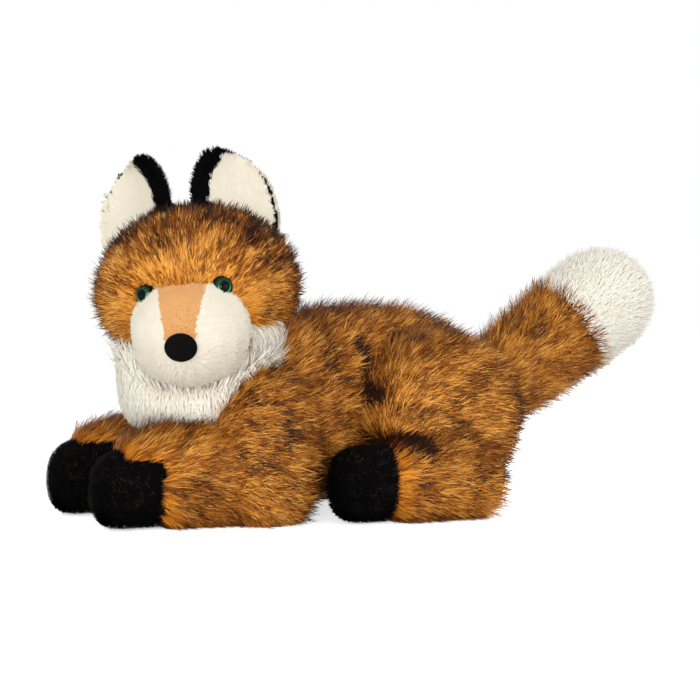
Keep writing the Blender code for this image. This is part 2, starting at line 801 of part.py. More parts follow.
def stem_room(matrix):
    """The bore that a stem needs in cloth, fill and washer."""
    radius = STEM_DIAMETER / 2 + SEAM_GAP
    return lathed([(-STEM_LENGTH - SEAM_GAP, radius), (OVERRUN, radius)], matrix, LIMB_FACETS)


def build_washer(matrix, setback, name):
    """A lock washer with its bore."""
    washer = cut(object_of(washer_form(matrix, setback, 0.0), name), stem_room(matrix))
    finish(washer, name, "washer_plastic", head_pivot())


def eye_matrix(side):
    """Where an eye sits: on the skin where it looks, with its flat back a little inside."""
    turn = Matrix.Rotation(-side * EYE_TURN, 4, "Z")
    aim = head_frame() @ Matrix.Translation((0, 0, -EYE_DROP)) @ turn
    tree = BVHTree.FromBMesh(cranium_form(0.0))
    outwards = aim.to_3x3() @ Vector((0, -1, 0))
    hit = tree.ray_cast(aim.translation, outwards)[0]
    return Matrix.Translation(hit - outwards * EYE_SINK) @ aim.to_3x3().to_4x4()


def nose_matrix():
    """Where the nose sits: at the tip of the muzzle, looking along it."""
    return muzzle_frame() @ Matrix.Translation((0, NOSE_SINK + MUZZLE_ROOT - MUZZLE_REACH, 0))


def ear_frame(side):
    """The matrix from an ear's frame to the fox: X across, Z from foot to tip, and it looks along -Y."""
    seat = Matrix.Translation((-side * EAR_OFFSET - EAR_SHIFT, EAR_BACKSET, EAR_SEAT_RISE))
    turn = Matrix.Rotation(-side * EAR_TURN, 4, "Z")
    return head_frame() @ seat @ turn @ Matrix.Rotation(-side * EAR_FOOT_SLOPE, 4, "Y")


def ear_panel(side, inset, front, back):
    """A cupped sheet from the foot to the tip of an ear.

    front and back are where its two faces lie, in half thicknesses ahead of the middle sheet.
    """
    seat = ear_frame(side)
    shear = math.tan(EAR_FOOT_SLOPE - EAR_LEAN)
    rings = []
    for up, half, lean, half_thick in EAR_SHARES:
        rows = []
        wide = EAR_WIDTH * half - inset
        for face in (front, back):
            for share in EAR_ACROSS_SHARES if face == front else EAR_ACROSS_SHARES[::-1]:
                rim = EAR_RIM_SHARE + (1 - EAR_RIM_SHARE) * (1 - share * share)
                x = wide * share - side * EAR_WIDTH * lean + side * shear * EAR_HEIGHT * up
                cup = EAR_CUP * up * (1 - share * share)
                y = cup - EAR_THICKNESS * half_thick * rim * face[0] - face[1]
                rows.append(Vector((x, y, EAR_HEIGHT * up)))
        rings.append(rows)
    return moved(loft(rings), seat)


def ear_foot(side, growth):
    """The gathered roll along the foot of an ear."""
    seat = ear_frame(side)
    half = EAR_WIDTH * EAR_SHARES[0][1]
    foot = seat @ Vector((-half, 0, 0))
    axis = seat.to_3x3() @ Vector((1, 0, 0))
    return grow(cylinder(foot, axis, half * 2, EAR_ROLL_RADIUS, LIMB_FACETS), growth)


def ear_rooms():
    """What the head leaves free for its ears as they flex."""
    for side in (-1, 1):
        seat = ear_frame(side)
        axis = seat.to_3x3() @ Vector((1, 0, 0))
        yield ear_foot(side, around(EAR_ROLL_RADIUS, LIMB_FACETS) - EAR_ROLL_RADIUS + SEAM_GAP)
        for flex in EAR_FLEX_STEPS:
            blade = ear_panel(side, -SEAM_GAP, (1, SEAM_GAP), (-1, -SEAM_GAP))
            yield moved(blade, about(seat.translation, axis, flex))


def build_ears():
    """Each ear: a black back with the gathered foot, and a narrower white front."""
    for side in (-1, 1):
        name = side_name(side)
        seat = ear_frame(side)
        front = object_of(ear_panel(side, EAR_EDGE, (1, 0), (0, SEAM_GAP)), "front")
        back = object_of(ear_panel(side, 0, (0, 0), (-1, 0)), "back")
        boolean(back, "UNION", ear_foot(side, 0.0))
        cut(front, ear_foot(side, SEAM_GAP))
        finish(front, name + "_ear_front", "white_plush", seat.translation)
        finish(back, name + "_ear_back", "black_plush", seat.translation)


def bridge_form(growth):
    """The tapering wedge that takes the tan strip out of the top of the muzzle."""
    reach = MUZZLE_REACH
    wide, narrow = BRIDGE_WIDTH_AT_EYES / 2, BRIDGE_WIDTH_AT_NOSE / 2
    rings = []
    for y, half in ((OVERRUN, wide), (-reach, narrow)):
        corners = ((-half, 0), (half, 0), (half, reach), (-half, reach))
        rings.append([Vector((x, y, z)) for x, z in corners])
    return moved(grow(loft(rings), growth), muzzle_frame())


def build_head():
    """The head's skin and core, the muzzle's panels, the nose and the eyes."""
    skin, core = skin_and_core(cranium_form)
    muzzle = cut(object_of(muzzle_form(0.0), "muzzle"), muzzle_form(-SKIN), cranium_form(SEAM_GAP))
    cut(skin, muzzle_form(-SKIN))
    boolean(core, "UNION", muzzle_form(-SKIN - SEAM_GAP))
    cut(skin, *ear_rooms())
    cut(core, *ear_rooms())
    nose = nose_matrix()
    for piece in (muzzle, core):
        cut(piece, nose_form(nose, SEAM_GAP))
    cut(core, joined(stem_room(nose), washer_form(nose, NOSE_WASHER_SETBACK, SEAM_GAP)))
    finish(object_of(nose_form(nose, 0.0), "nose"), "nose", "nose_flock", head_pivot())
    build_washer(nose, NOSE_WASHER_SETBACK, "nose_washer")
    for side in (-1, 1):
        matrix, name = eye_matrix(side), side_name(side)
        for piece in (skin, core, muzzle):
            room = joined(stem_room(matrix), seat_room(matrix, EYE_DIAMETER / 2))
            cut(piece, joined(room, washer_form(matrix, EYE_WASHER_SETBACK, SEAM_GAP)))
        finish(object_of(eye_form(matrix, 0.0), "eye"), name + "_eye", "eye_acrylic", head_pivot())
        build_washer(matrix, EYE_WASHER_SETBACK, name + "_eye_washer")
    bridge = boolean(copy_of(muzzle), "INTERSECT", bridge_form(0.0))
    cut(muzzle, bridge_form(SEAM_GAP))
    across = muzzle_frame().to_3x3() @ Vector((1, 0, 0))
    right, left = split(muzzle, muzzle_frame().translation, across)
    finish(skin, "head_skin", "amber_fur", head_pivot())
    finish(core, "head_core", "fibre_fill", head_pivot())
    finish(left, "muzzle_left", "white_plush", head_pivot())
    finish(right, "muzzle_right", "white_plush", head_pivot())
    finish(bridge, "muzzle_bridge", "tan_plush", head_pivot())


def build_leg(form, side, names, paw_at, pivot):
    """A leg's skin, its black paw and its core. paw_at is the X where the paw begins."""
    skin, core = skin_and_core(form, side)
    for piece in (skin, core):
        cut(piece, below_floor())
    leg, paw = split(skin, (paw_at, 0, 0), (-1, 0, 0))
    leg_name, paw_name, core_name = (side_name(side) + "_" + name for name in names)
    finish(leg, leg_name, "amber_fur", pivot)
    finish(paw, paw_name, "black_plush", pivot)
    finish(core, core_name, "fibre_fill", pivot)


def build_legs():
    """The four legs."""
    for side in (-1, 1):
        names = ("foreleg_skin", "front_paw", "foreleg_core")
        paw_at = shoulder_pivot(side).x - ARM_REACH + FRONT_PAW_LENGTH
        build_leg(foreleg_form, side, names, paw_at, shoulder_pivot(side))
        names = ("hind_leg_skin", "hind_paw", "hind_leg_core")
        paw_at = hip_pivot(side).x - SHANK_REACH + HIND_PAW_LENGTH
        build_leg(hind_leg_form, side, names, paw_at, hip_pivot(side))


def build_tail():
    """The tail's skin, its white tip and its core, on the ball in the rump."""
    pivot, axis = tail_pivot(), tail_axis()
    skin, core = skin_and_core(tail_form)
    for piece in (skin, core):
        cut(piece, socket(pivot, TAIL_BALL_RADIUS))
    tail, tip = split(skin, pivot + axis * (TAIL_LENGTH - TAIL_TIP_LENGTH), axis)
    finish(tail, "tail_skin", "amber_fur", pivot)
    finish(tip, "tail_tip", "white_plush", pivot)
    finish(core, "tail_core", "fibre_fill", pivot)
    finish(object_of(ball(pivot, TAIL_BALL_RADIUS), "ball"), "tail_root_ball", "fibre_fill", pivot)


def main():
    """Builds the whole fox."""
    clear_scene()
    build_torso()
    build_ruff()
    build_head()
    build_ears()
    build_legs()
    build_tail()


main()
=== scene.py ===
"""Looks of the plush fox: sewn and stuffed forms under tipped faux fur, with glossy eyes and a flocked nose.

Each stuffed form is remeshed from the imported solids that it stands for, so it keeps their place and size.
Its pile is grown on it by one geometry node tree, strand by strand, and each fur piece rides with its form.
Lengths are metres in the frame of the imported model: +Z up, the fox looks along -X, its left side is at -Y.
"""

import json
import logging
import math
from dataclasses import dataclass, field, replace
from enum import Enum
from typing import Callable, Iterable, Sequence

import bmesh
import bpy
import numpy as np
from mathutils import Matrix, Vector, noise
from mathutils.bvhtree import BVHTree
from mathutils.kdtree import KDTree


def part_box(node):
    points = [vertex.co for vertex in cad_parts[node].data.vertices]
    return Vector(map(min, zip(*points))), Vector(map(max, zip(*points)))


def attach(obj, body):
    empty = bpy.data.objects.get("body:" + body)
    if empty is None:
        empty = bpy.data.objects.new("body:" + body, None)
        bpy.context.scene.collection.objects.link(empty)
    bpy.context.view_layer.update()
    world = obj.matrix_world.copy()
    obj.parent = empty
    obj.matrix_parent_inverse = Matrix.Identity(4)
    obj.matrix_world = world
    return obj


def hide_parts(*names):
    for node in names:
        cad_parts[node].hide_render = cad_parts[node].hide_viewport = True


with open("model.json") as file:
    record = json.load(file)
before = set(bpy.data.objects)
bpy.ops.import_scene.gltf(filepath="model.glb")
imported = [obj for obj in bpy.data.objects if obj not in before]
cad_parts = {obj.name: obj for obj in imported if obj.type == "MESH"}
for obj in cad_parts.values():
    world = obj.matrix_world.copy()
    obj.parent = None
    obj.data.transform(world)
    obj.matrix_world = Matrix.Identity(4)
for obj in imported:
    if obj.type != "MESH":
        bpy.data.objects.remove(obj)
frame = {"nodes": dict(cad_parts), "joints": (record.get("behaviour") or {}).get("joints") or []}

logging.basicConfig(level=logging.INFO, format="%(message)s")
log = logging.getLogger("plush fox")

MM = 0.001
HAIR = 0.01 * MM  # shorter than anything that shows
TINY = 1e-6  # keeps a division off zero
SKIN_THICKNESS = 3.3 * MM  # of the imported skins, and a little room
RAY = Vector((0.131, 0.217, 0.967)).normalized()  # along no face and no edge
MOST_CROSSINGS = 20
WHITE_LIGHT = (1.0, 1.0, 1.0, 1.0)
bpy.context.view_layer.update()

Field = Callable[[np.ndarray, np.ndarray], np.ndarray]


class Side(Enum):
    """The fox's own left and right, as the sign of Y."""

    LEFT = -1
    RIGHT = 1

    @property
    def word(self) -> str:
        """The side's name in node and body names."""
        return self.name.lower()


class PileTone(Enum):
    """The dyed pile cloths that the toy is sewn from."""

    AMBER = "amber_fur"
    WHITE = "white_plush"
    BLACK = "black_plush"
    TAN = "tan_plush"


def linear(hex_colour: str) -> tuple[float, float, float, float]:
    """Turns an sRGB hex colour into linear RGBA.

    Args:
        hex_colour: Six hex digits, with or without a leading #.

    Returns:
        The colour that shader sockets take.
    """
    digits = hex_colour.lstrip("#")
    values = [int(digits[i : i + 2], 16) / 255 for i in (0, 2, 4)]
    red, green, blue = (v / 12.92 if v <= 0.04045 else ((v + 0.055) / 1.055) ** 2.4 for v in values)
    return red, green, blue, 1.0


def fill_inputs(tree: bpy.types.NodeTree, node: bpy.types.Node, inputs: dict) -> None:
    """Gives a node's inputs numbers or links.

    Args:
        tree: The node tree.
        node: The node.
        inputs: Socket name or number, and a value or an output socket.
    """
    for key, value in inputs.items():
        if isinstance(value, bpy.types.NodeSocket):
            tree.links.new(value, node.inputs[key])
        else:
            node.inputs[key].default_value = value


def add_node(
    tree: bpy.types.NodeTree, kind: str, inputs: dict | None = None, **settings: object
) -> bpy.types.Node:
    """Adds a node with its settings and its inputs.

    Args:
        tree: The node tree.
        kind: The node's type name.
        inputs: Socket name or number, and a value or an output socket.
        settings: The node's own properties.

    Returns:
        The new node.
    """
    node = tree.nodes.new(kind)
    for key, value in settings.items():
        setattr(node, key, value)
    fill_inputs(tree, node, inputs or {})
    return node


def add_ramp(
    tree: bpy.types.NodeTree, share: bpy.types.NodeSocket, stops: Iterable[tuple[float, str]]
) -> bpy.types.NodeSocket:
    """Adds a colour ramp.

    Args:
        tree: The node tree.
        share: What the ramp is read by.
        stops: Positions and hex colours.

    Returns:
        The ramp's colour.
    """
    node = add_node(tree, "ShaderNodeValToRGB", {0: share})
    ramp, stops = node.color_ramp, list(stops)
    while len(ramp.elements) < len(stops):
        ramp.elements.new(0.5)
    for element, (position, colour) in zip(ramp.elements, stops):
        element.position = position
        element.color = linear(colour)
    return node.outputs[0]


def new_material(name: str) -> tuple[bpy.types.Material, bpy.types.NodeTree, bpy.types.Node]:
    """Starts a node material.

    Args:
        name: The finish's name.

    Returns:
        The material, its tree and its Principled node.
    """
    made = bpy.data.materials.new(name)
    made.use_nodes = True
    return made, made.node_tree, made.node_tree.nodes["Principled BSDF"]


@dataclass(frozen=True)
class StrandDye:
    """The colours of one strand from its root to its tip."""

    root: str
    middle: str
    tip: str
    places: tuple[float, ...] = (0.0, 0.32, 0.55, 0.86)  # of root, shaft, shaft's end and tip

    def stops(self) -> Iterable[tuple[float, str]]:
        """The colour ramp's stops along the strand."""
        return zip(self.places, (self.root, self.middle, self.middle, self.tip))


@dataclass(frozen=True)
class PileFinish:
    """Knitted acrylic pile, sheared and tip dyed: soft, matt, with a faint sheen along each strand."""

    name: str
    dyes: tuple[StrandDye, ...]
    steps: tuple[tuple[float, float], ...] = ((0.34, 0.50), (0.66, 0.80))  # where one dye passes to the next
    roughness: float = 0.62
    specular: float = 0.25
    sheen: float = 0.15
    sheen_roughness: float = 0.5

    def material(self) -> bpy.types.Material:
        """Colours a strand by its own map: U is the dye lot from pale to deep, V runs root to tip.

        Returns:
            The material.
        """
        made, tree, shader = new_material(self.name)
        uv = add_node(tree, "ShaderNodeUVMap", uv_map="OFBake")
        lot, height = add_node(tree, "ShaderNodeSeparateXYZ", {0: uv.outputs[0]}).outputs[:2]
        ramps = [add_ramp(tree, height, dye.stops()) for dye in self.dyes]
        colour = ramps[0]
        for ramp, (start, end) in zip(ramps[1:], self.steps):
            share = add_node(tree, "ShaderNodeMapRange", {0: lot, 1: start, 2: end})
            layer = {0: share.outputs[0], 6: colour, 7: ramp}
            colour = add_node(tree, "ShaderNodeMix", layer, data_type="RGBA").outputs[2]
        looks = {"Base Color": colour, "Roughness": self.roughness, "Specular IOR Level": self.specular}
        looks.update({"Sheen Weight": self.sheen, "Sheen Roughness": self.sheen_roughness})
        fill_inputs(tree, shader, looks)
        return made


@dataclass(frozen=True)
class GrainFinish:
    """A surface with one fine grain, which tones its colour and raises it as the real one does."""

    name: str
    dark: str
    light: str
    grain: float  # its size
    stops: tuple[float, float]  # of the grain's noise, where the surface is dark and where it is light
    relief: float  # the grain's height
    strength: float  # the relief's share
    roughness: float
    specular: float = 0.5
    detail: float = 2.0
    drift: float | None = None  # the size of slow changes of the dye under the grain

    def material(self) -> bpy.types.Material:
        """Tones and raises the surface by a noise of the grain's size.

        Returns:
            The material.
        """
        made, tree, shader = new_material(self.name)
        place = add_node(tree, "ShaderNodeTexCoord").outputs["Object"]
        fine = {"Vector": place, "Scale": 1 / self.grain, "Detail": self.detail}
        noise_value = tone = add_node(tree, "ShaderNodeTexNoise", fine).outputs[0]
        if self.drift:
            slow = add_node(tree, "ShaderNodeTexNoise", {"Vector": place, "Scale": 1 / self.drift}).outputs[0]
            tone = add_node(tree, "ShaderNodeMath", {0: tone, 1: slow}, operation="MULTIPLY").outputs[0]
        colour = add_ramp(tree, tone, zip(self.stops, (self.dark, self.light)))
        raised = {"Height": noise_value, "Strength": self.strength, "Distance": self.relief}
        normal = add_node(tree, "ShaderNodeBump", raised).outputs[0]
        looks = {"Base Color": colour, "Normal": normal}
        looks.update({"Roughness": self.roughness, "Specular IOR Level": self.specular})
        fill_inputs(tree, shader, looks)
        return made


def knitted(name: str, light: str, dark: str) -> GrainFinish:
    """Knitted polyester backing that shows between strands: loops about 1 mm apart, quite matt."""
    return GrainFinish(name, dark, light, 1.0 * MM, (0.12, 0.40), 0.3 * MM, 0.5, 0.95, 0.15, drift=12 * MM)


@dataclass(frozen=True)
class IrisFinish:
    """Green acrylic safety eye, painted from behind, with painted light: a bright crescent low in the iris
    where the dome would gather light.
    """

    name: str = "painted acrylic eye"
    bright: str = "#4FBC8E"
    green: str = "#0A4A2D"
    deep: str = "#052A1A"
    black: str = "#020202"
    crescent: tuple[float, ...] = (0.0, 0.42, 0.70, 1.0)  # turns of the iris colours from its lowest point; the first two hold the painted crescent of light
    surround: tuple[float, ...] = (0.58, 0.80, 0.92)  # radii of the colours outside the iris
    iris: tuple[float, float] = (0.60, 0.56)  # the iris fades in between these shares of the radius
    pupil: tuple[float, float] = (0.53, 0.50)
    roughness: float = 0.3
    coat: float = 0.3
    coat_roughness: float = 0.03

    def material(self) -> bpy.types.Material:
        """Paints rings by the eye's own map: U is the share of the radius, V the turn from the lowest point.

        Returns:
            The material.
        """
        made, tree, shader = new_material(self.name)
        uv = add_node(tree, "ShaderNodeUVMap", uv_map="rings")
        radius, turn = add_node(tree, "ShaderNodeSeparateXYZ", {0: uv.outputs[0]}).outputs[:2]
        painted = add_ramp(tree, turn, zip(self.crescent, (self.bright, self.bright, self.green, self.deep)))
        colour = add_ramp(tree, radius, zip(self.surround, (self.green, self.deep, self.black)))
        for (start, end), inner in ((self.iris, painted), (self.pupil, linear(self.black))):
            share = add_node(tree, "ShaderNodeMapRange", {0: radius, 1: start, 2: end}).outputs[0]
            layer = {0: share, 6: colour, 7: inner}
            colour = add_node(tree, "ShaderNodeMix", layer, data_type="RGBA").outputs[2]
        looks = {"Base Color": colour, "Roughness": self.roughness, "Specular IOR Level": 0.0}
        looks.update({"Coat Weight": self.coat, "Coat Roughness": self.coat_roughness})
        fill_inputs(tree, shader, looks)
        return made


@dataclass(frozen=True)
class Palette:
    """The toy's finishes, in one place."""

    # Orange shafts with brown and black tips, in four dye lots that mix all over the coat; the last, dark
    # from root to tip, mostly shows where painted shade in the creases deepens the lot.
    amber: PileFinish = PileFinish(
        "tip dyed amber faux fur",
        (
            StrandDye("#8A4E0C", "#E6962E", "#F0B25A"),
            StrandDye("#7C3C08", "#D07C1E", "#622E0E"),
            StrandDye("#5E2C08", "#965214", "#1C0F0B"),
            StrandDye("#3A1C0A", "#3C1C0C", "#140A08"),
        ),
        ((0.34, 0.50), (0.62, 0.76), (0.88, 0.95)),
        specular=0.15,
        sheen=0.0,
    )
    # Warm white that greys a little where the pile parts.
    white: PileFinish = PileFinish(
        "ivory plush",
        (
            StrandDye("#F3EAD6", "#FAF4E4", "#FCF8EC"),
            StrandDye("#EEE4CF", "#F6EEDC", "#F9F3E4"),
            StrandDye("#DED5C0", "#E8E0CD", "#EBE3D1"),
        ),
        roughness=0.9,
    )
    # Deep black, with a few strands whose grey tips are painted highlights.
    black: PileFinish = PileFinish(
        "black plush",
        (StrandDye("#020202", "#050404", "#080707"), StrandDye("#020202", "#070606", "#34302D")),
        ((0.76, 0.88),),
        roughness=0.9,
        specular=0.06,
        sheen=0.0,
    )
    # Even light tan.
    tan: PileFinish = PileFinish(
        "tan plush",
        (
            StrandDye("#BE8347", "#DA9F60", "#E4AF74"),
            StrandDye("#B0763C", "#D29656", "#DCA56A"),
            StrandDye("#A06631", "#C68949", "#D39A5E"),
        ),
        roughness=0.8,
    )
    backings: dict[PileTone, GrainFinish] = field(
        default_factory=lambda: {
            # The amber backing is real knitted cloth, dyed dark brown as painted shade for the depth of the
            # pile over it.
            PileTone.AMBER: knitted("amber knitted backing", "#8A5720", "#4A2B12"),
            PileTone.WHITE: knitted("ivory knitted backing", "#F4EEE0", "#DCD2C0"),
            PileTone.BLACK: knitted("black knitted backing", "#060505", "#020202"),
            PileTone.TAN: knitted("tan knitted backing", "#D59A5C", "#A9733C"),
        }
    )
    # Fibres under half a millimetre long, black and almost without shine.
    flock: GrainFinish = GrainFinish(
        "flocked nylon", "#040303", "#0C0A0A", 0.35 * MM, (0.35, 0.70), 0.25 * MM, 0.7, 0.9, 0.08, 3.0
    )
    # Milky and satin, with faint flow clouds from the mould.
    washer: GrainFinish = GrainFinish(
        "moulded polypropylene", "#CFCDC4", "#E4E2DA", 2.5 * MM, (0.35, 0.65), 0.05 * MM, 0.15, 0.42
    )
    iris: IrisFinish = IrisFinish()

    def pile(self, tone: PileTone) -> PileFinish:
        """The strand finish of a cloth."""
        return getattr(self, tone.name.lower())


PALETTE = Palette()
BACKINGS = {tone: finish.material() for tone, finish in PALETTE.backings.items()}
IRIS, FLOCK = PALETTE.iris.material(), PALETTE.flock.material()


@dataclass(frozen=True)
class Pile:
    """How one cloth's pile grows. Angles are from the surface's normal, in degrees."""

    tone: PileTone
    density: float  # strands on a square metre
    length: float
    width: float
    root_angle: float
    tip_angle: float
    clump: float = 2.4 * MM  # width of a tuft
    gather: float = 0.55  # how far a tuft draws together
    stray: float = 0.16  # how far a strand strays from its neighbours
    short: float = 0.7  # least share of the length
    tuft_tone: float = 0.80  # share of the dye lot that a tuft has in common
    strand_tone: float = 0.25
    seams: int = 2  # bends along a strand


@dataclass
class Patch:
    """Where a pile grows on a form: fields of the form's points and normals."""

    comb: Field
    cover: Field
    reach: Field
    shade: Field
    stand: Field


SEAM_PLACES = {1: (0.0, 0.6, 1.0), 2: (0.0, 0.34, 0.74, 1.0)}  # where a strand bends, by its seams
PILE_INPUTS = {  # the tree's inputs, and the sizes of a pile that they take
    "Density": "density",
    "Length": "length",
    "Width": "width",
    "Shortest": "short",
    "Tuft Width": "clump",
    "Gather": "gather",
    "Stray": "stray",
    "Tuft Tone": "tuft_tone",
    "Strand Tone": "strand_tone",
}
PATCH_FIELDS = ("stand", "comb", "cover", "reach", "shade")


class Draw(Enum):
    """What is drawn at random for each strand, as what it adds to the pile's seed."""

    WIDTH = 3
    LENGTH = 5
    LIFT = 7
    TONE = 9
    STRAY = 11


@dataclass
class Graph:
    """The nodes that the pile's tree repeats, in one call each."""

    tree: bpy.types.NodeTree
    seed: bpy.types.NodeSocket

    def add(self, kind: str, inputs: dict | None = None, **settings: object) -> bpy.types.NodeSocket:
        """The first output of a new node."""
        return add_node(self.tree, kind, inputs, **settings).outputs[0]

    def named(self, name: str, kind: str = "FLOAT") -> bpy.types.NodeSocket:
        """The value that the form carries under a name."""
        return self.add("GeometryNodeInputNamedAttribute", {"Name": name}, data_type=kind)

    def number(self, operation: str, *values: object) -> bpy.types.NodeSocket:
        """The result of one sum on numbers."""
        return self.add("ShaderNodeMath", dict(enumerate(values)), operation=operation)

    def vector(self, operation: str, first: object, second: object) -> bpy.types.NodeSocket:
        """The result of one sum on vectors, or on a vector and a scale."""
        inputs = {0: first, "Scale" if operation == "SCALE" else 1: second}
        return self.add("ShaderNodeVectorMath", inputs, operation=operation)

    def parts(self, vector: bpy.types.NodeSocket) -> Sequence[bpy.types.NodeSocket]:
        """The three numbers of a vector."""
        return add_node(self.tree, "ShaderNodeSeparateXYZ", {0: vector}).outputs

    def joined(self, *values: object) -> bpy.types.NodeSocket:
        """The vector of two or three numbers."""
        return self.add("ShaderNodeCombineXYZ", dict(enumerate(values)))

    def own_seed(self, draw: Draw) -> bpy.types.NodeSocket:
        """The seed of one thing that is drawn."""
        return self.number("ADD", self.seed, draw.value)

    def chance(self, draw: Draw, low: object, high: object) -> bpy.types.NodeSocket:
        """One random number for each strand."""
        inputs = {2: low, 3: high, 8: self.own_seed(draw)}
        return add_node(self.tree, "FunctionNodeRandomValue", inputs).outputs[1]

    def stored(
        self, geometry: object, name: str, value: object, kind: str = "FLOAT", domain: str = "POINT"
    ) -> bpy.types.NodeSocket:
        """The geometry, carrying a value under a name."""
        inputs = {"Geometry": geometry, "Name": name, "Value": value}
        return self.add("GeometryNodeStoreNamedAttribute", inputs, data_type=kind, domain=domain)


@dataclass
class Loom:
    """Grows pile on forms with one geometry node tree."""

    palette: Palette
    foot: float = 0.38  # half a strand's width at its root, as a share
    bulge: float = 0.12  # how much wider half its width is halfway up
    widths: tuple[float, float] = (0.7, 1.3)  # shares of the width and of the rise that strands vary in
    lifts: tuple[float, float] = (0.75, 1.25)
    tilt: float = 0.6  # how much of its stray also tips a strand's root
    lots: tuple[float, float] = (0.02, 0.97)  # the palest and the deepest place in the dye map
    column: float = 0.01  # the width of a strand in the dye map, and the map's margin
    floor: float = 0.3 * MM  # the height down to which pile hangs
    blades: dict[Pile, bpy.types.Object] = field(default_factory=dict)

    def __post_init__(self) -> None:
        """Makes the materials and the tree."""
        self.materials = {tone: self.palette.pile(tone).material() for tone in PileTone}
        self.tree = self._tree()

    def blade(self, pile: Pile) -> bpy.types.Object:
        """The strand that a pile repeats: a narrow tapering leaf that bends over, one metre long.

        Args:
            pile: The pile's sizes.

        Returns:
            A template object, with the strand's side and height in its map.
        """
        if pile in self.blades:
            return self.blades[pile]
        shares = SEAM_PLACES[pile.seams]
        rows = len(shares) - 1
        start, end = math.radians(pile.root_angle), math.radians(pile.tip_angle)
        bend = end - start
        points, sides = [], []
        for i, share in enumerate(shares):
            turn = start + bend * share
            ahead = (math.cos(start) - math.cos(turn)) / bend
            height = (math.sin(turn) - math.sin(start)) / bend
            half = self.foot + self.bulge * math.sin(math.pi * share)
            for side in (-1, 1) if i < rows else (0,):
                points.append((side * half, ahead, height))
                sides.append(((side + 1) / 2, share))
        faces = [(2 * i, 2 * i + 1, 2 * i + 3, 2 * i + 2) for i in range(rows - 1)]
        faces.append((2 * rows - 2, 2 * rows - 1, 2 * rows))
        mesh = bpy.data.meshes.new("strand")
        mesh.from_pydata(points, [], faces)
        layer = mesh.uv_layers.new(name="strand")
        for loop in mesh.loops:
            layer.data[loop.index].uv = sides[loop.vertex_index]
        template = add_object("strand", mesh)
        template.hide_render = True
        self.blades[pile] = template
        return template

    def _tree(self) -> bpy.types.NodeTree:
        """Builds the tree that scatters strands, combs them, gathers them in tufts and dyes them.

        Returns:
            The geometry node tree.
        """
        tree = bpy.data.node_groups.new("pile", "GeometryNodeTree")
        sockets = {"Form": "Geometry", "Strand": "Object", "Finish": "Material"}
        sockets.update(dict.fromkeys((*PILE_INPUTS, "Floor"), "Float"), Seed="Int")
        for name, kind in sockets.items():
            tree.interface.new_socket(name, in_out="INPUT", socket_type=f"NodeSocket{kind}")
        tree.interface.new_socket("Pile", in_out="OUTPUT", socket_type="NodeSocketGeometry")
        given = tree.nodes.new("NodeGroupInput").outputs
        result = tree.nodes.new("NodeGroupOutput")
        graph = Graph(tree, given["Seed"])
        cover = graph.number("MULTIPLY", given["Density"], graph.named("cover"))
        bed = {"Mesh": given["Form"], "Density": cover, "Seed": given["Seed"]}
        points = graph.add("GeometryNodeDistributePointsOnFaces", bed)
        normal, place = graph.named("stand", "FLOAT_VECTOR"), graph.add("GeometryNodeInputPosition")
        cells = graph.number("DIVIDE", 1.0, given["Tuft Width"])
        tufts = add_node(tree, "ShaderNodeTexVoronoi", {"Vector": place, "Scale": cells}).outputs
        # A tuft's strands lean to its middle, each strays a little, and all follow the comb.
        inward = graph.vector("SUBTRACT", tufts["Position"], place)
        pull = graph.number("DIVIDE", given["Gather"], given["Tuft Width"])
        gathered = graph.vector("SCALE", inward, pull)
        cube = {0: (-1.0, -1.0, -1.0), 1: (1.0, 1.0, 1.0), 8: graph.own_seed(Draw.STRAY)}
        loose = graph.add("FunctionNodeRandomValue", cube, data_type="FLOAT_VECTOR")
        strayed = graph.vector("SCALE", loose, given["Stray"])
        combed = graph.vector("ADD", graph.named("comb", "FLOAT_VECTOR"), gathered)
        forward = graph.vector("ADD", combed, strayed)
        upward = graph.vector("ADD", normal, graph.vector("SCALE", strayed, self.tilt))
        ways = {"primary_axis": "Z", "secondary_axis": "Y"}
        turn = graph.add("FunctionNodeAxesToRotation", {0: upward, 1: forward}, **ways)
        reach = graph.number("MULTIPLY", given["Length"], graph.named("reach"))
        length = graph.number("MULTIPLY", reach, graph.chance(Draw.LENGTH, given["Shortest"], 1.0))
        lift = graph.number("MULTIPLY", length, graph.chance(Draw.LIFT, *self.lifts))
        width = graph.number("MULTIPLY", given["Width"], graph.chance(Draw.WIDTH, *self.widths))
        # The dye lot is the form's shade there, changed for each tuft and again for each strand.
        tuft_lot = graph.parts(tufts["Color"])[0]
        tone = graph.number("MULTIPLY_ADD", tuft_lot, given["Tuft Tone"], graph.named("shade"))
        tone = graph.number("MULTIPLY_ADD", graph.chance(Draw.TONE, -0.5, 0.5), given["Strand Tone"], tone)
        tone = graph.add("ShaderNodeClamp", {0: tone, 1: self.lots[0], 2: self.lots[1]})
        points = graph.stored(graph.stored(points, "tone", tone), "nap", normal, "FLOAT_VECTOR")
        strand = add_node(tree, "GeometryNodeObjectInfo", {"Object": given["Strand"]}).outputs["Geometry"]
        copies = {"Points": points, "Instance": strand, "Rotation": turn}
        copies["Scale"] = graph.joined(width, length, lift)
        grown = graph.add("GeometryNodeInstanceOnPoints", copies)
        real = graph.add("GeometryNodeRealizeInstances", {"Geometry": grown})
        # The floor presses the pile flat.
        where = graph.parts(graph.add("GeometryNodeInputPosition"))
        pressed = graph.joined(where[0], where[1], graph.number("MAXIMUM", where[2], given["Floor"]))
        flat = graph.add("GeometryNodeSetPosition", {"Geometry": real, "Position": pressed})
        # Each strand is a narrow column of the map: its dye lot across, root to tip up.
        leaf = graph.parts(graph.named("strand", "FLOAT_VECTOR"))
        across = graph.number("MULTIPLY_ADD", leaf[0], self.column, graph.named("tone"))
        up = graph.number("MULTIPLY_ADD", leaf[1], 1 - 2 * self.column, self.column)
        mapped = graph.stored(flat, "OFBake", graph.joined(across, up), "FLOAT2", "CORNER")
        dressed = graph.add("GeometryNodeSetMaterial", {"Geometry": mapped, "Material": given["Finish"]})
        tree.links.new(dressed, result.inputs[0])
        return tree

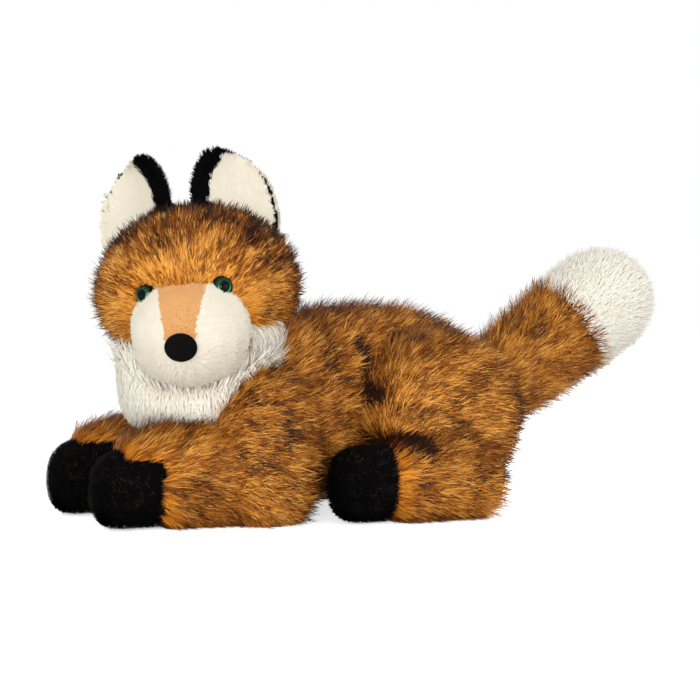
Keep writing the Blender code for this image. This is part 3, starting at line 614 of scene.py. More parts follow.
    def grow(
        self, form: bpy.types.Object, patch: Patch, pile: Pile, name: str, body: str, seed: int
    ) -> bpy.types.Object:
        """Grows one pile on a form, as a plain mesh that rides on a body.

        Args:
            form: The stuffed form.
            patch: Where the pile grows and how it is combed.
            pile: The cloth's sizes.
            name: The new piece's name.
            body: The body that it moves with.
            seed: The seed of everything random in it.

        Returns:
            The fur piece.
        """
        mesh = form.data.copy()
        points, normals = mesh_points(mesh)
        values = {key: getattr(patch, key)(points, normals) for key in PATCH_FIELDS}
        stand, comb = values["stand"], values["comb"]
        values["comb"] = unit(comb - stand * (comb * stand).sum(1, keepdims=True))
        for key, data in values.items():
            kind, part = ("FLOAT_VECTOR", "vector") if data.ndim == 2 else ("FLOAT", "value")
            attribute = mesh.attributes.new(key, kind, "POINT")
            attribute.data.foreach_set(part, np.ascontiguousarray(data, np.float32).ravel())
        bed = add_object("bed", mesh)
        modifier = bed.modifiers.new("pile", "NODES")
        modifier.node_group = self.tree
        given = {"Strand": self.blade(pile), "Finish": self.materials[pile.tone]}
        given.update({key: getattr(pile, size) for key, size in PILE_INPUTS.items()})
        given.update({"Floor": self.floor, "Seed": seed})
        for item in self.tree.interface.items_tree:
            if item.name in given:
                modifier[item.identifier] = given[item.name]
        fur_mesh = evaluated(bed)
        naps = np.empty(len(fur_mesh.vertices) * 3, np.float32)
        fur_mesh.attributes["nap"].data.foreach_get("vector", naps)
        fur_mesh.name = name
        fur_mesh.shade_smooth()
        fur_mesh.normals_split_custom_set_from_vertices(naps.reshape(-1, 3))
        for spare in ("nap", "tone", "strand", *PATCH_FIELDS):
            found = fur_mesh.attributes.get(spare)
            if found:
                fur_mesh.attributes.remove(found)
        fur = add_object(name, fur_mesh)
        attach(fur, body)
        log.info("%s: %d faces, %d triangles", name, len(fur_mesh.polygons), triangles(fur_mesh))
        return fur

    def put_away(self) -> None:
        """Removes the strand templates."""
        for template in self.blades.values():
            bpy.data.objects.remove(template)


def triangles(mesh: bpy.types.Mesh) -> int:
    """How many triangles a mesh has."""
    return sum(len(polygon.vertices) - 2 for polygon in mesh.polygons)


def add_object(name: str, data: bpy.types.ID) -> bpy.types.Object:
    """Puts a mesh, a lamp or a camera in the scene.

    Args:
        name: The object's name.
        data: What it shows.

    Returns:
        The object.
    """
    obj = bpy.data.objects.new(name, data)
    bpy.context.scene.collection.objects.link(obj)
    return obj


def link(mesh: bpy.types.Mesh, name: str, material: bpy.types.Material) -> bpy.types.Object:
    """Puts a mesh in the scene under a name, with one material.

    Args:
        mesh: The mesh.
        name: Its name and the object's.
        material: Its one material.

    Returns:
        The object.
    """
    mesh.name = name
    mesh.materials.clear()
    mesh.materials.append(material)
    return add_object(name, mesh)


def evaluated(obj: bpy.types.Object) -> bpy.types.Mesh:
    """Takes the mesh that an object's modifiers give, and removes the object.

    Args:
        obj: The object.

    Returns:
        The mesh.
    """
    graph = bpy.context.evaluated_depsgraph_get()
    mesh = bpy.data.meshes.new_from_object(obj.evaluated_get(graph))
    bpy.data.objects.remove(obj)
    return mesh


@dataclass(frozen=True)
class Panel:
    """One cloth of a stuffed form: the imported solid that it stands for, and its pile's cloth."""

    node: str
    tone: PileTone
    rise: float  # of the cloth above the fill
    claim: Field | None = None  # how much further than its solid it reaches, at each point

    @property
    def name(self) -> str:
        """The name of the panel's own mesh."""
        return f"{self.node}_cloth"


def packed(*nodes: str) -> bmesh.types.BMesh:
    """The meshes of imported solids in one.

    Args:
        nodes: The solids' names.

    Returns:
        A working mesh.
    """
    bm = bmesh.new()
    for node in nodes:
        bm.from_mesh(frame["nodes"][node].data)
    return bm


def written(bm: bmesh.types.BMesh, name: str) -> bpy.types.Mesh:
    """Turns a working mesh into a mesh of the scene.

    Args:
        bm: The working mesh, which is freed.
        name: The new mesh's name.

    Returns:
        The new mesh.
    """
    mesh = bpy.data.meshes.new(name)
    bm.to_mesh(mesh)
    bm.free()
    return mesh


def search_tree(bm: bmesh.types.BMesh) -> BVHTree:
    """Turns a working mesh into a search tree.

    Args:
        bm: The working mesh, which is freed.

    Returns:
        The search tree.
    """
    tree = BVHTree.FromBMesh(bm)
    bm.free()
    return tree


def rounded(nodes: Iterable[str], voxel: float, soften: int, plump: Sequence[str] = ()) -> bpy.types.Mesh:
    """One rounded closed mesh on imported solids.

    Args:
        nodes: The solids' names.
        voxel: The fineness of the mesh.
        soften: Rounds of smoothing, which round off its edges.
        plump: Skins whose fill bulges out evenly, also where a solid leaves room for a neighbour.

    Returns:
        The mesh.
    """
    bm = packed(*nodes)
    bmesh.ops.remove_doubles(bm, verts=bm.verts, dist=HAIR)
    for node in plump:
        skin, centre = packed(node), Vector(middle_of(node))
        for vert in skin.verts:
            out = vert.co - centre
            vert.co = centre + out * (1 - SKIN_THICKNESS / out.length)
        hull = bmesh.ops.convex_hull(skin, input=skin.verts)
        bmesh.ops.delete(skin, geom=hull["geom_interior"], context="VERTS")
        spare = written(skin, "hull")
        bm.from_mesh(spare)
        bpy.data.meshes.remove(spare)
    obj = add_object("rounded", written(bm, "rounded"))
    remesh = obj.modifiers.new("remesh", "REMESH")
    remesh.mode, remesh.voxel_size = "VOXEL", voxel
    smooth = obj.modifiers.new("smooth", "SMOOTH")
    smooth.factor, smooth.iterations = 0.5, soften
    return evaluated(obj)


def mesh_points(mesh: bpy.types.Mesh) -> tuple[np.ndarray, np.ndarray]:
    """The points and normals of a mesh.

    Args:
        mesh: The mesh.

    Returns:
        The points and the normals, each as rows of three.
    """
    found = []
    for part in ("co", "normal"):
        values = np.empty(len(mesh.vertices) * 3, np.float32)
        mesh.vertices.foreach_get(part, values)
        found.append(values.reshape(-1, 3).astype(float))
    return found[0], found[1]


def unit(rows: np.ndarray) -> np.ndarray:
    """Rows of three, each made one unit long."""
    return rows / np.maximum(np.linalg.norm(rows, axis=1, keepdims=True), TINY)


def blurred(values: np.ndarray, mesh: bpy.types.Mesh, rounds: int) -> np.ndarray:
    """Values of a mesh's points, evened out along its edges.

    Args:
        values: One value or one vector for each point.
        mesh: The mesh.
        rounds: How often each point takes the mean of itself and its neighbours.

    Returns:
        The evened values.
    """
    edges = np.empty(len(mesh.edges) * 2, np.int32)
    mesh.edges.foreach_get("vertices", edges)
    first, second = edges.reshape(-1, 2).T
    rows = values.reshape(len(values), -1).astype(float)
    count = np.ones((len(rows), 1))
    np.add.at(count, first, 1)
    np.add.at(count, second, 1)
    for _ in range(rounds):
        summed = rows.copy()
        np.add.at(summed, first, rows[second])
        np.add.at(summed, second, rows[first])
        rows = summed / count
    return rows.reshape(values.shape)


@dataclass
class Envelope:
    """The smooth outline that several forms share, so that pile lies across the creases between them."""

    nodes: Sequence[str]
    plump: Sequence[str] = ()
    voxel: float = 3.5 * MM
    soften: int = 24

    def __post_init__(self) -> None:
        """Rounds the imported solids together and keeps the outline's normals."""
        mesh = rounded(self.nodes, self.voxel, self.soften, self.plump)
        places, self.normals = mesh_points(mesh)
        self.tree = KDTree(len(places))
        for i, place in enumerate(places):
            self.tree.insert(Vector(place), i)
        self.tree.balance()
        bpy.data.meshes.remove(mesh)

    def blend(self, points: np.ndarray, normals: np.ndarray, share: float) -> np.ndarray:
        """Normals turned towards the outline's.

        Args:
            points: Places on a form.
            normals: The form's own normals there.
            share: The outline's share.

        Returns:
            Unit normals.
        """
        nearest = [self.tree.find(Vector(point))[1] for point in points]
        return unit(normals * (1 - share) + self.normals[nearest] * share)


def constant(value: float) -> Field:
    """A field that is the same everywhere."""
    return lambda points, normals: np.full(len(points), value)


def smoothstep(low: float, high: float, values: np.ndarray) -> np.ndarray:
    """0 below low, 1 above high, and a smooth rise between them."""
    share = np.clip((values - low) / (high - low), 0.0, 1.0)
    return share * share * (3 - 2 * share)


def flow(direction: Sequence[float]) -> Field:
    """A comb that runs one way all over."""
    return lambda points, normals: np.tile(np.array(direction, float), (len(points), 1))


def away_from(middle: Sequence[float], far: Sequence[float], near: float, wide: float) -> Field:
    """A comb that fans out from a point, and turns to one direction further away.

    Args:
        middle: The point that the pile fans out from.
        far: The direction far away from it.
        near: The distance within which the fan is full.
        wide: The distance beyond which there is none.

    Returns:
        The comb field.
    """
    centre, beyond = np.array(middle, float), np.array(far, float)

    def comb(points: np.ndarray, normals: np.ndarray) -> np.ndarray:
        """The comb at each point."""
        out = points - centre
        distance = np.linalg.norm(out, axis=1, keepdims=True)
        share = smoothstep(near, wide, distance)
        return out / np.maximum(distance, TINY) * (1 - share) + beyond * share

    return comb


def mottle(size: float, low: float, high: float, seed: float = 0.0) -> Field:
    """Soft patches in a range.

    Args:
        size: The patches' size.
        low: The least value.
        high: The greatest value.
        seed: Shifts the patches.

    Returns:
        The field.
    """

    def value(points: np.ndarray, normals: np.ndarray) -> np.ndarray:
        """The patches' value at each point, from noise that seldom goes past 0.6 by itself."""
        found = [noise.noise(Vector(p / size) + Vector((seed, seed, seed))) for p in points]
        return low + (high - low) * (0.5 + 0.5 * np.clip(np.array(found) * 1.6, -1, 1))

    return value


def product(*fields: Field) -> Field:
    """The product of several fields."""
    return lambda points, normals: np.prod([f(points, normals) for f in fields], axis=0)


def total(*fields: Field) -> Field:
    """The sum of several fields."""
    return lambda points, normals: np.sum([f(points, normals) for f in fields], axis=0)


def is_inside(tree: BVHTree, probe: Vector) -> bool:
    """Whether a point lies inside a closed form.

    Args:
        tree: The form's search tree.
        probe: The point.

    Returns:
        True inside, where a ray from the point leaves the form more often than it enters it.
    """
    place, normal, _, _ = tree.find_nearest(probe)
    if (probe - place).dot(normal) > 0:
        return False
    crossings, start = 0, probe
    while crossings < MOST_CROSSINGS:
        hit = tree.ray_cast(start, RAY)[0]
        if hit is None:
            break
        crossings += 1
        start = hit + RAY * HAIR
    return crossings % 2 == 1


def outside(trees: Sequence[BVHTree], margin: float) -> Field:
    """1 where a point is outside all of some forms, and 0 elsewhere.

    Args:
        trees: The forms' search trees.
        margin: How far the point stands off its own cloth.

    Returns:
        The field.
    """

    def cover(points: np.ndarray, normals: np.ndarray) -> np.ndarray:
        """Whether each point is free."""
        probes = [Vector(spot) for spot in points + normals * margin]
        return np.array([float(not any(is_inside(tree, probe) for tree in trees)) for probe in probes])

    return cover


def near_tree(tree: BVHTree, near: float, far: float) -> Field:
    """1 near a form's surface, falling to 0 further away.

    Args:
        tree: The form's search tree.
        near: The distance up to which it is 1.
        far: The distance beyond which it is 0.

    Returns:
        The field.
    """

    def value(points: np.ndarray, normals: np.ndarray) -> np.ndarray:
        """The nearness of each point."""
        gaps = [tree.find_nearest(Vector(spot), far)[3] for spot in points]
        return 1 - smoothstep(near, far, np.array([far if gap is None else gap for gap in gaps]))

    return value


def near_point(middle: Sequence[float], near: float, far: float) -> Field:
    """1 within a distance of a point, falling to 0 further away."""
    centre = np.array(middle, float)
    return lambda points, normals: 1 - smoothstep(near, far, np.linalg.norm(points - centre, axis=1))


def near_line(first: Sequence[float], second: Sequence[float], near: float, far: float) -> Field:
    """1 within a distance of the line between two points, falling to 0 further away.

    Args:
        first: One end.
        second: The other end.
        near: The distance up to which it is 1.
        far: The distance beyond which it is 0.

    Returns:
        The field.
    """
    start, way = np.array(first, float), np.array(second, float) - np.array(first, float)

    def value(points: np.ndarray, normals: np.ndarray) -> np.ndarray:
        """The nearness of each point."""
        share = np.clip((points - start) @ way / (way @ way), 0.0, 1.0)
        return 1 - smoothstep(near, far, np.linalg.norm(points - start - share[:, None] * way, axis=1))

    return value


def scaled(inner: Field, factor: float, offset: float = 0.0) -> Field:
    """A field times a number, plus another."""
    return lambda points, normals: inner(points, normals) * factor + offset


def middle_of(node: str) -> np.ndarray:
    """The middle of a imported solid's box."""
    low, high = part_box(node)
    return (np.array(low) + np.array(high)) / 2


def joint(name: str) -> dict:
    """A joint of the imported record."""
    return next(j for j in frame["joints"] if j["name"] == name)


def node_points(node: str) -> np.ndarray:
    """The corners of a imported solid."""
    return np.array([v.co for v in frame["nodes"][node].data.vertices], float)


def turned(
    rows: Sequence[tuple[float, float]], turns: int, foot: Vector, axis: Vector, down: Vector
) -> bpy.types.Mesh:
    """A smooth turned body from a profile, with a map of its rings.

    Args:
        rows: Distances along the axis and radii, and radius 0 at both ends.
        turns: Points round the axis.
        foot: Where distance 0 lies.
        axis: The way it points.
        down: The direction that counts as the lowest point of its rings.

    Returns:
        The mesh. Its map "rings" holds the share of the largest radius, and the turn from the lowest point.
    """
    across = axis.cross(down).normalized()
    low = across.cross(axis).normalized()
    widest = max(radius for _, radius in rows)
    bm = bmesh.new()
    layer = bm.loops.layers.uv.new("rings")
    rings, facts = [], {}
    for distance, radius in rows:
        ring = []
        for i in range(1 if radius == 0 else turns):
            turn = math.tau * i / turns
            out = low * math.cos(turn) + across * math.sin(turn)
            vert = bm.verts.new(foot + axis * distance + out * radius)
            facts[vert] = (radius / widest, (1 - math.cos(turn)) / 2)
            ring.append(vert)
        rings.append(ring)
    for first, second in zip(rings, rings[1:]):
        for i in range(turns):
            j = (i + 1) % turns
            corners = [ring[k % len(ring)] for ring, k in ((first, i), (first, j), (second, j), (second, i))]
            bm.faces.new(list(dict.fromkeys(corners)))
    for face in bm.faces:
        for loop in face.loops:
            loop[layer].uv = facts[loop.vert]
    bmesh.ops.recalc_face_normals(bm, faces=bm.faces)
    mesh = written(bm, "turned")
    mesh.shade_smooth()
    return mesh


AMBER_LONG = Pile(PileTone.AMBER, 1.75e6, 14.5 * MM, 0.52 * MM, 46, 78, strand_tone=0.35, seams=1)
AMBER_GUARD = Pile(
    PileTone.AMBER, 0.55e6, 18 * MM, 0.40 * MM, 32, 62, clump=3.0 * MM, gather=0.7, stray=0.3, tuft_tone=0.5
)
AMBER_FACE = Pile(PileTone.AMBER, 1.95e6, 12.5 * MM, 0.50 * MM, 42, 72, strand_tone=0.35, seams=1)
FACE_GUARD = replace(
    AMBER_GUARD, density=0.60e6, length=14.5 * MM, width=0.38 * MM, root_angle=30, tip_angle=60
)
WHITE_RUFF = Pile(
    PileTone.WHITE, 1.9e6, 8 * MM, 0.60 * MM, 38, 76, 5 * MM, gather=0.2, stray=0.25, tuft_tone=0.25, seams=1
)
WHITE_FILL = Pile(
    PileTone.WHITE, 1.5e6, 16 * MM, 0.65 * MM, 14, 50, 5 * MM, gather=0.2, stray=0.2, tuft_tone=0.2, seams=1
)
WHITE_TAIL = Pile(
    PileTone.WHITE, 1.8e6, 11 * MM, 0.55 * MM, 14, 50, 4 * MM, gather=0.2, stray=0.35, tuft_tone=0.2
)
WHITE_SHORT = Pile(
    PileTone.WHITE, 4.4e6, 2.4 * MM, 0.55 * MM, 40, 78, 3 * MM, gather=0.1, stray=0.3, tuft_tone=0.15, seams=1
)
TAN_SHORT = replace(WHITE_SHORT, tone=PileTone.TAN, length=2.0 * MM, width=0.50 * MM, tuft_tone=0.3)
WHITE_EAR = replace(WHITE_SHORT, density=3.6e6, length=3.2 * MM, width=0.50 * MM, tip_angle=76)
BLACK_SHORT = replace(
    WHITE_SHORT, tone=PileTone.BLACK, density=2.8e6, length=3.8 * MM, root_angle=20, tip_angle=60,
    gather=0.15, stray=0.4, tuft_tone=0.35, strand_tone=0.5,
)


@dataclass
class StuffedForm:
    """A stuffed form sewn from panels, on one body. Its panels are cut from one rounded mesh on its fill."""

    fill: Sequence[str]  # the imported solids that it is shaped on
    panels: Sequence[Panel]
    body: str
    voxel: float = 2.2 * MM
    soften: int = 6
    lift: Field | None = None  # how far the cloth stands off further, at each point
    plump: Sequence[str] = ()
    ease: int = 3  # rounds that even out the step between two panels
    floor: float = 0.5 * MM  # the height down to which cloth hangs

    def __post_init__(self) -> None:
        """Shapes the form and cuts it into its panels."""
        self.mesh = rounded(self.fill, self.voxel, self.soften, self.plump)
        points, normals = mesh_points(self.mesh)
        owner = self._owner(points, normals)
        rise = blurred(np.array([panel.rise for panel in self.panels])[owner], self.mesh, self.ease)
        if self.lift:
            rise = rise + self.lift(points, normals)
        points = points + normals * rise[:, None]
        points[:, 2] = np.maximum(points[:, 2], self.floor)
        self.mesh.vertices.foreach_set("co", points.astype(np.float32).ravel())
        self.mesh.update()
        self.cloths: dict[str, bpy.types.Object] = {}
        faces = [tuple(polygon.vertices) for polygon in self.mesh.polygons]
        owners = [int(np.bincount(owner[list(face)]).argmax()) for face in faces]
        for i, panel in enumerate(self.panels):
            mine = [face for face, own in zip(faces, owners) if own == i]
            self.cloths[panel.node] = self._cloth(panel, points, mine)
        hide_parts(*self.fill)
        bm = bmesh.new()
        bm.from_mesh(self.mesh)
        self.tree = search_tree(bm)

    def _owner(self, points: np.ndarray, normals: np.ndarray) -> np.ndarray:
        """The number of the panel at each point: the nearest one, or one that claims more than its solid.

        Args:
            points: The form's points.
            normals: Its normals there.

        Returns:
            A panel's number for each point.
        """
        gaps = []
        for panel in self.panels:
            tree = search_tree(packed(panel.node))
            gap = np.array([tree.find_nearest(Vector(point))[3] for point in points])
            gaps.append(gap - panel.claim(points, normals) if panel.claim else gap)
        return np.array(gaps).argmin(axis=0)

    def _cloth(self, panel: Panel, points: np.ndarray, faces: Sequence[tuple[int, ...]]) -> bpy.types.Object:
        """Makes one panel's own mesh.

        Args:
            panel: The panel.
            points: The whole form's points.
            faces: The panel's faces.

        Returns:
            The panel's object.
        """
        used = sorted({corner for face in faces for corner in face})
        place = {corner: i for i, corner in enumerate(used)}
        mesh = bpy.data.meshes.new(panel.name)
        corners = [[place[corner] for corner in face] for face in faces]
        mesh.from_pydata([points[i] for i in used], [], corners)
        mesh.shade_smooth()
        cloth = link(mesh, panel.name, BACKINGS[panel.tone])
        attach(cloth, self.body)
        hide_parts(panel.node)
        log.info("%s: %d triangles", panel.name, triangles(mesh))
        return cloth


@dataclass(frozen=True)
class Stemmed:
    """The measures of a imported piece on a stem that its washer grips, along its axis from the washer."""

    washer: Vector
    axis: Vector
    radius: float
    stem: float  # the stem's radius
    tail: float  # where the stem ends
    back: float
    front: float

    @classmethod
    def of(cls, node: str, wide: float) -> "Stemmed":
        """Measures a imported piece.

        Args:
            node: The piece's name.
            wide: The share of the radius past which a point is part of the head of the piece.

        Returns:
            Its measures.
        """
        points, washer = node_points(node), middle_of(node + "_washer")
        axis = Vector(points.mean(0) - washer).normalized()
        along = (points - washer) @ np.array(axis)
        out = np.linalg.norm(points - washer - np.outer(along, axis), axis=1)
        radius = float(out.max())
        back = float(along[out > radius * wide].min())
        stem = float(out[along < back - 1 * MM].max())
        return cls(Vector(washer), axis, radius, stem, float(along.min()), back, float(along.max()))

    def foot(self) -> list[tuple[float, float]]:
        """The profile of the stem, up to the back of the piece."""
        return [(self.tail, 0.0), (self.tail, self.stem), (self.back, self.stem)]

    def turn(self, rows: list[tuple[float, float]], turns: int) -> bpy.types.Mesh:
        """Turns a profile on the piece's axis.

        Args:
            rows: Distances along the axis and radii.
            turns: Points round the axis.

        Returns:
            The mesh, closed at its front.
        """
        rows[-1] = (rows[-1][0], 0.0)
        return turned(rows, turns, self.washer, self.axis, Vector((0, 0, -1)))


@dataclass
class Eye:
    """A safety eye: a painted acrylic dome in a dark rim, on a stem that its washer grips."""

    side: Side
    rim: float = 0.35 * MM
    wall: float = 0.8 * MM  # how high the rim stands
    brim: float = 1.2 * MM  # where the dome begins
    turns: int = 40
    steps: int = 8
    wide: float = 0.9

    def build(self) -> bpy.types.Object:
        """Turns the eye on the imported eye's own axis.

        Returns:
            The eye.
        """
        node = f"{self.side.word}_eye"
        size = Stemmed.of(node, self.wide)
        dome, radius = size.front - size.back - self.brim, size.radius - self.rim
        rows = [*size.foot(), (size.back, size.radius), (size.back + self.wall, size.radius)]
        for i in range(self.steps + 1):
            turn = math.pi / 2 * i / self.steps
            rows.append((size.back + self.brim + dome * math.sin(turn), radius * math.cos(turn)))
        eye = link(size.turn(rows, self.turns), node + "_dome", IRIS)
        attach(eye, "head")
        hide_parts(node)
        log.info("%s: %d triangles", eye.name, triangles(eye.data))
        return eye


@dataclass
class Nose:
    """A flocked nose on a stem, a little wider than high."""

    turns: int = 36
    steps: int = 12
    height: float = 0.88  # as a share of its width
    back: float = 0.72  # the radius of its back, as a share
    widest: float = 0.45  # where it is widest, as a share of its depth
    wide: float = 0.7

    def build(self) -> bpy.types.Object:
        """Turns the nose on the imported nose's own axis and presses it a little flat.

        Returns:
            The nose.
        """
        size = Stemmed.of("nose", self.wide)
        deep, beyond = size.front - size.back, 1 - self.widest
        rows = [*size.foot(), (size.back, size.radius * self.back)]
        for i in range(1, self.steps + 1):
            share = i / self.steps
            round_off = math.sqrt(max(1 - ((share - self.widest) / beyond) ** 2, 0.0))
            rows.append((size.back + deep * share, size.radius * round_off))
        mesh = size.turn(rows, self.turns)
        upward = (Vector((0, 0, 1)) - size.axis * size.axis.z).normalized()
        for vert in mesh.vertices:
            vert.co -= upward * ((vert.co - size.washer).dot(upward) * (1 - self.height))
        nose = link(mesh, "nose_flocked", FLOCK)
        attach(nose, "head")
        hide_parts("nose")
        log.info("%s: %d triangles", nose.name, triangles(mesh))
        return nose


@dataclass(frozen=True)
class Lamp:
    """One round soft lamp."""

    name: str
    place: tuple[float, float, float]
    size: float
    power: float


def aim(obj: bpy.types.Object, place: Vector, way: Vector) -> None:
    """Puts a lamp or a camera at a place.

    Args:
        obj: The lamp or camera.
        place: Where it stands.
        way: The direction that it looks in.
    """
    obj.location = place
    obj.rotation_mode = "QUATERNION"
    obj.rotation_quaternion = way.to_track_quat("-Z", "Y")


def seen_apart(
    tree: bpy.types.NodeTree, lit: bpy.types.NodeSocket, seen: bpy.types.NodeSocket
) -> bpy.types.NodeSocket:
    """One shader for the light in the scene, and another for what the camera sees.

    Args:
        tree: The node tree.
        lit: The shader that other rays meet.
        seen: The shader that the camera's rays meet.

    Returns:
        The two in one.
    """
    rays = add_node(tree, "ShaderNodeLightPath").outputs["Is Camera Ray"]
    return add_node(tree, "ShaderNodeMixShader", {0: rays, 1: lit, 2: seen}).outputs[0]


@dataclass
class Studio:
    """A pale floor, a soft daylight and the camera at the photograph's angle."""

    azimuth: float = -25.0
    elevation: float = 2.0
    distance: float = 1.3
    target: tuple[float, float, float] = (-0.0135, 0.0, 0.099)
    metres_on_pixel: float = 0.62 * MM
    frame_pixels: float = 700.0
    sensor: float = 36.0
    floor_size: float = 3.0
    floor_glow: float = 0.72  # brings the card near white, so that only its shadow shows
    sky: float = 0.88
    lamps: tuple[Lamp, ...] = (
        Lamp("key", (-0.9, -1.2, 1.3), 1.1, 5.0),  # high on the camera's left
        Lamp("fill", (0.6, -1.5, 0.12), 1.1, 5.0),  # low on its right
        Lamp("front", (-0.9, -1.4, 0.15), 0.8, 13.0),  # low on its left, on the face and the paws
    )

    def build(self) -> None:
        """Makes the camera, the floor and the lamps."""
        self._camera()
        self._floor()
        self._light()

    def _camera(self) -> None:
        """Places the camera on its sphere round the target."""
        data = bpy.data.cameras.new("camera")
        camera = add_object("camera", data)
        a, e = math.radians(self.azimuth), math.radians(self.elevation)
        back = Vector((math.sin(a) * math.cos(e), -math.cos(a) * math.cos(e), math.sin(e)))
        aim(camera, Vector(self.target) + back * self.distance, -back)
        data.sensor_width = self.sensor
        data.lens = self.distance / self.metres_on_pixel * data.sensor_width / self.frame_pixels
        data.clip_start, data.clip_end = 0.01, 20.0
        bpy.context.scene.camera = camera

    def _floor(self) -> None:
        """Lays a matt white card that shows only its shadow to the camera."""
        bm = bmesh.new()
        bmesh.ops.create_grid(bm, x_segments=1, y_segments=1, size=self.floor_size)
        made, tree, shader = new_material("white card")
        fill_inputs(tree, shader, {"Base Color": linear("#F7F7F7"), "Roughness": 0.9})
        plain = shader.outputs[0]
        glow = add_node(tree, "ShaderNodeEmission", {0: WHITE_LIGHT, 1: self.floor_glow})
        card = add_node(tree, "ShaderNodeAddShader", {0: plain, 1: glow.outputs[0]}).outputs[0]
        tree.links.new(seen_apart(tree, plain, card), tree.nodes["Material Output"].inputs[0])
        link(written(bm, "floor"), "floor", made)

    def _light(self) -> None:
        """Makes an even sky, with a white backdrop for the camera, and the lamps."""
        scene = bpy.context.scene
        scene.world = bpy.data.worlds.new("sky")
        scene.world.use_nodes = True
        tree = scene.world.node_tree
        sky = tree.nodes["Background"]
        fill_inputs(tree, sky, {0: WHITE_LIGHT, 1: self.sky})
        backdrop = add_node(tree, "ShaderNodeBackground", {0: WHITE_LIGHT, 1: 1.0})
        mixed = seen_apart(tree, sky.outputs[0], backdrop.outputs[0])
        tree.links.new(mixed, tree.nodes["World Output"].inputs[0])
        for lamp in self.lamps:
            data = bpy.data.lights.new(lamp.name, "AREA")
            data.shape, data.size, data.energy = "DISK", lamp.size, lamp.power
            place = Vector(lamp.place)
            aim(add_object(lamp.name, data), place, Vector(self.target) - place)
        scene.view_settings.view_transform = "Standard"


@dataclass
class Coat:
    """The pile on one cloth of a form: its combing, and how it takes account of its neighbours."""

    loom: Loom
    envelope: Envelope
    neighbours: Sequence[StuffedForm]
    margin: float = 4.0 * MM
    share: float = 0.65

    def grow(
        self,
        form: StuffedForm,
        node: str,
        pile: Pile,
        name: str,
        seed: int,
        comb: Field,
        shade: Field,
        reach: Field = constant(1.0),
        cover: Field = constant(1.0),
    ) -> bpy.types.Object:
        """Grows a pile on one panel, except where a neighbour lies against it.

        Args:
            form: The panel's form.
            node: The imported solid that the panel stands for.
            pile: The pile's sizes.
            name: The new piece's name.
            seed: The seed of everything random in it.
            comb: The way the pile lies.
            shade: Its dye lot, from 0 pale to 1 deep.
            reach: Its length's share.
            cover: Its density's share.

        Returns:
            The fur piece.
        """
        free = outside([other.tree for other in self.neighbours if other is not form], self.margin)

        def stand(points: np.ndarray, normals: np.ndarray) -> np.ndarray:
            """The way the strands stand at each point."""
            return self.envelope.blend(points, normals, self.share)

        patch = Patch(comb, product(free, cover), reach, shade, stand)
        return self.loom.grow(form.cloths[node], patch, pile, name, form.body, seed)


def above(height: float, slope: float, start: float) -> Field:
    """1 above a slanting plane and 0 below it.

    Args:
        height: The plane's height where X is start.
        slope: How much it climbs along X.
        start: A place along X.

    Returns:
        The field.
    """
    return lambda points, normals: (points[:, 2] > height + slope * (points[:, 0] - start)).astype(float)


EDGE_STEPS = 8
SOFT_EDGE = 0.5 * MM


def ear_edge(side: Side, way: int, width: float, claim: float) -> Field:
    """Where an ear's cloth wraps round one of its edges and over the top.

    Args:
        side: Which ear.
        way: 1 for the edge nearer the head's middle, -1 for the other.
        width: The width of the strip along the edge.
        claim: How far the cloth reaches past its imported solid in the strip.

    Returns:
        How far the cloth reaches, at each point.
    """
    hinge = joint(f"{side.word}_ear_flex")
    foot, across = np.array(hinge["pos_m"], float), np.array(hinge["axis"], float)
    other = np.array(joint(f"{Side(-side.value).word}_ear_flex")["pos_m"], float)
    across *= way * math.copysign(1.0, (other - foot) @ across)
    outline = node_points(f"{side.word}_ear_back")
    upward = outline[np.linalg.norm(outline - foot, axis=1).argmax()] - foot
    upward -= across * (upward @ across)
    upward /= np.linalg.norm(upward)
    rises, places = (outline - foot) @ upward, (outline - foot) @ across
    steps = np.linspace(0.0, rises.max(), EDGE_STEPS + 1)
    edges = [places[abs(rises - step) <= rises.max() / EDGE_STEPS].max() for step in steps]

    def reach(points: np.ndarray, normals: np.ndarray) -> np.ndarray:
        """Far within the strip, and nothing outside it."""
        edge = np.interp((points - foot) @ upward, steps, edges)
        inward = edge - (points - foot) @ across
        return claim * smoothstep(width + SOFT_EDGE, width - SOFT_EDGE, inward)

    return reach


def facing(way: Sequence[float], low: float, high: float) -> Field:
    """0 where a surface turns away from a direction, rising to 1 where it faces it.

    Args:
        way: The direction, one unit long.
        low: The cosine up to which it is 0.
        high: The cosine from which it is 1.

    Returns:
        The field.
    """
    return lambda points, normals: smoothstep(low, high, normals @ np.array(way, float))


def fold_shade(
    first: tuple[float, float], last: tuple[float, float], near: float, far: float, depth: float
) -> Field:
    """Painted shade along a fold: the dye lot is deeper where the crease's shadow falls, on both sides of the
    body alike.

    Args:
        first: X and Z of the fold's one end.
        last: X and Z of its other end.
        near: Half the width of its darkest part.
        far: Half its whole width.
        depth: How much deeper the painted shade makes the dye.

    Returns:
        The field.
    """
    line = near_line((first[0], 0.0, first[1]), (last[0], 0.0, last[1]), near, far)
    return lambda points, normals: depth * line(points * (1.0, 0.0, 1.0), normals)


# Painted shade in the crease in front of each haunch, in a tuck low on the hip, and along the seam where the
# haunches meet the rump.
FLANK_FOLD_SHADE = fold_shade((-0.033, 0.099), (-0.022, 0.066), 1.8 * MM, 5.5 * MM, 0.95)
HIP_TUCK_SHADE = fold_shade((-0.021, 0.044), (-0.009, 0.039), 2 * MM, 6.5 * MM, 0.85)
RUMP_SEAM_SHADE = fold_shade((0.056, 0.106), (0.068, 0.056), 3 * MM, 10 * MM, 0.6)
DEEP = 0.16  # how much deeper the dye is on the crown and along the back
CROWN = (0.138, 0.162)  # the heights between which it deepens on the head
BACK = (0.75, 0.98)  # the upward parts of the normal between which it deepens on the back
HEM_SHADE_HEIGHTS = (1 * MM, 9 * MM)  # painted shade: the heights between which the dye deepens towards the floor, where the fur meets it
HEM_SHADE_DEPTH = 0.30


def crown(points: np.ndarray, normals: np.ndarray) -> np.ndarray:
    """Deeper dye over the top of the head."""
    return DEEP * smoothstep(*CROWN, points[:, 2])


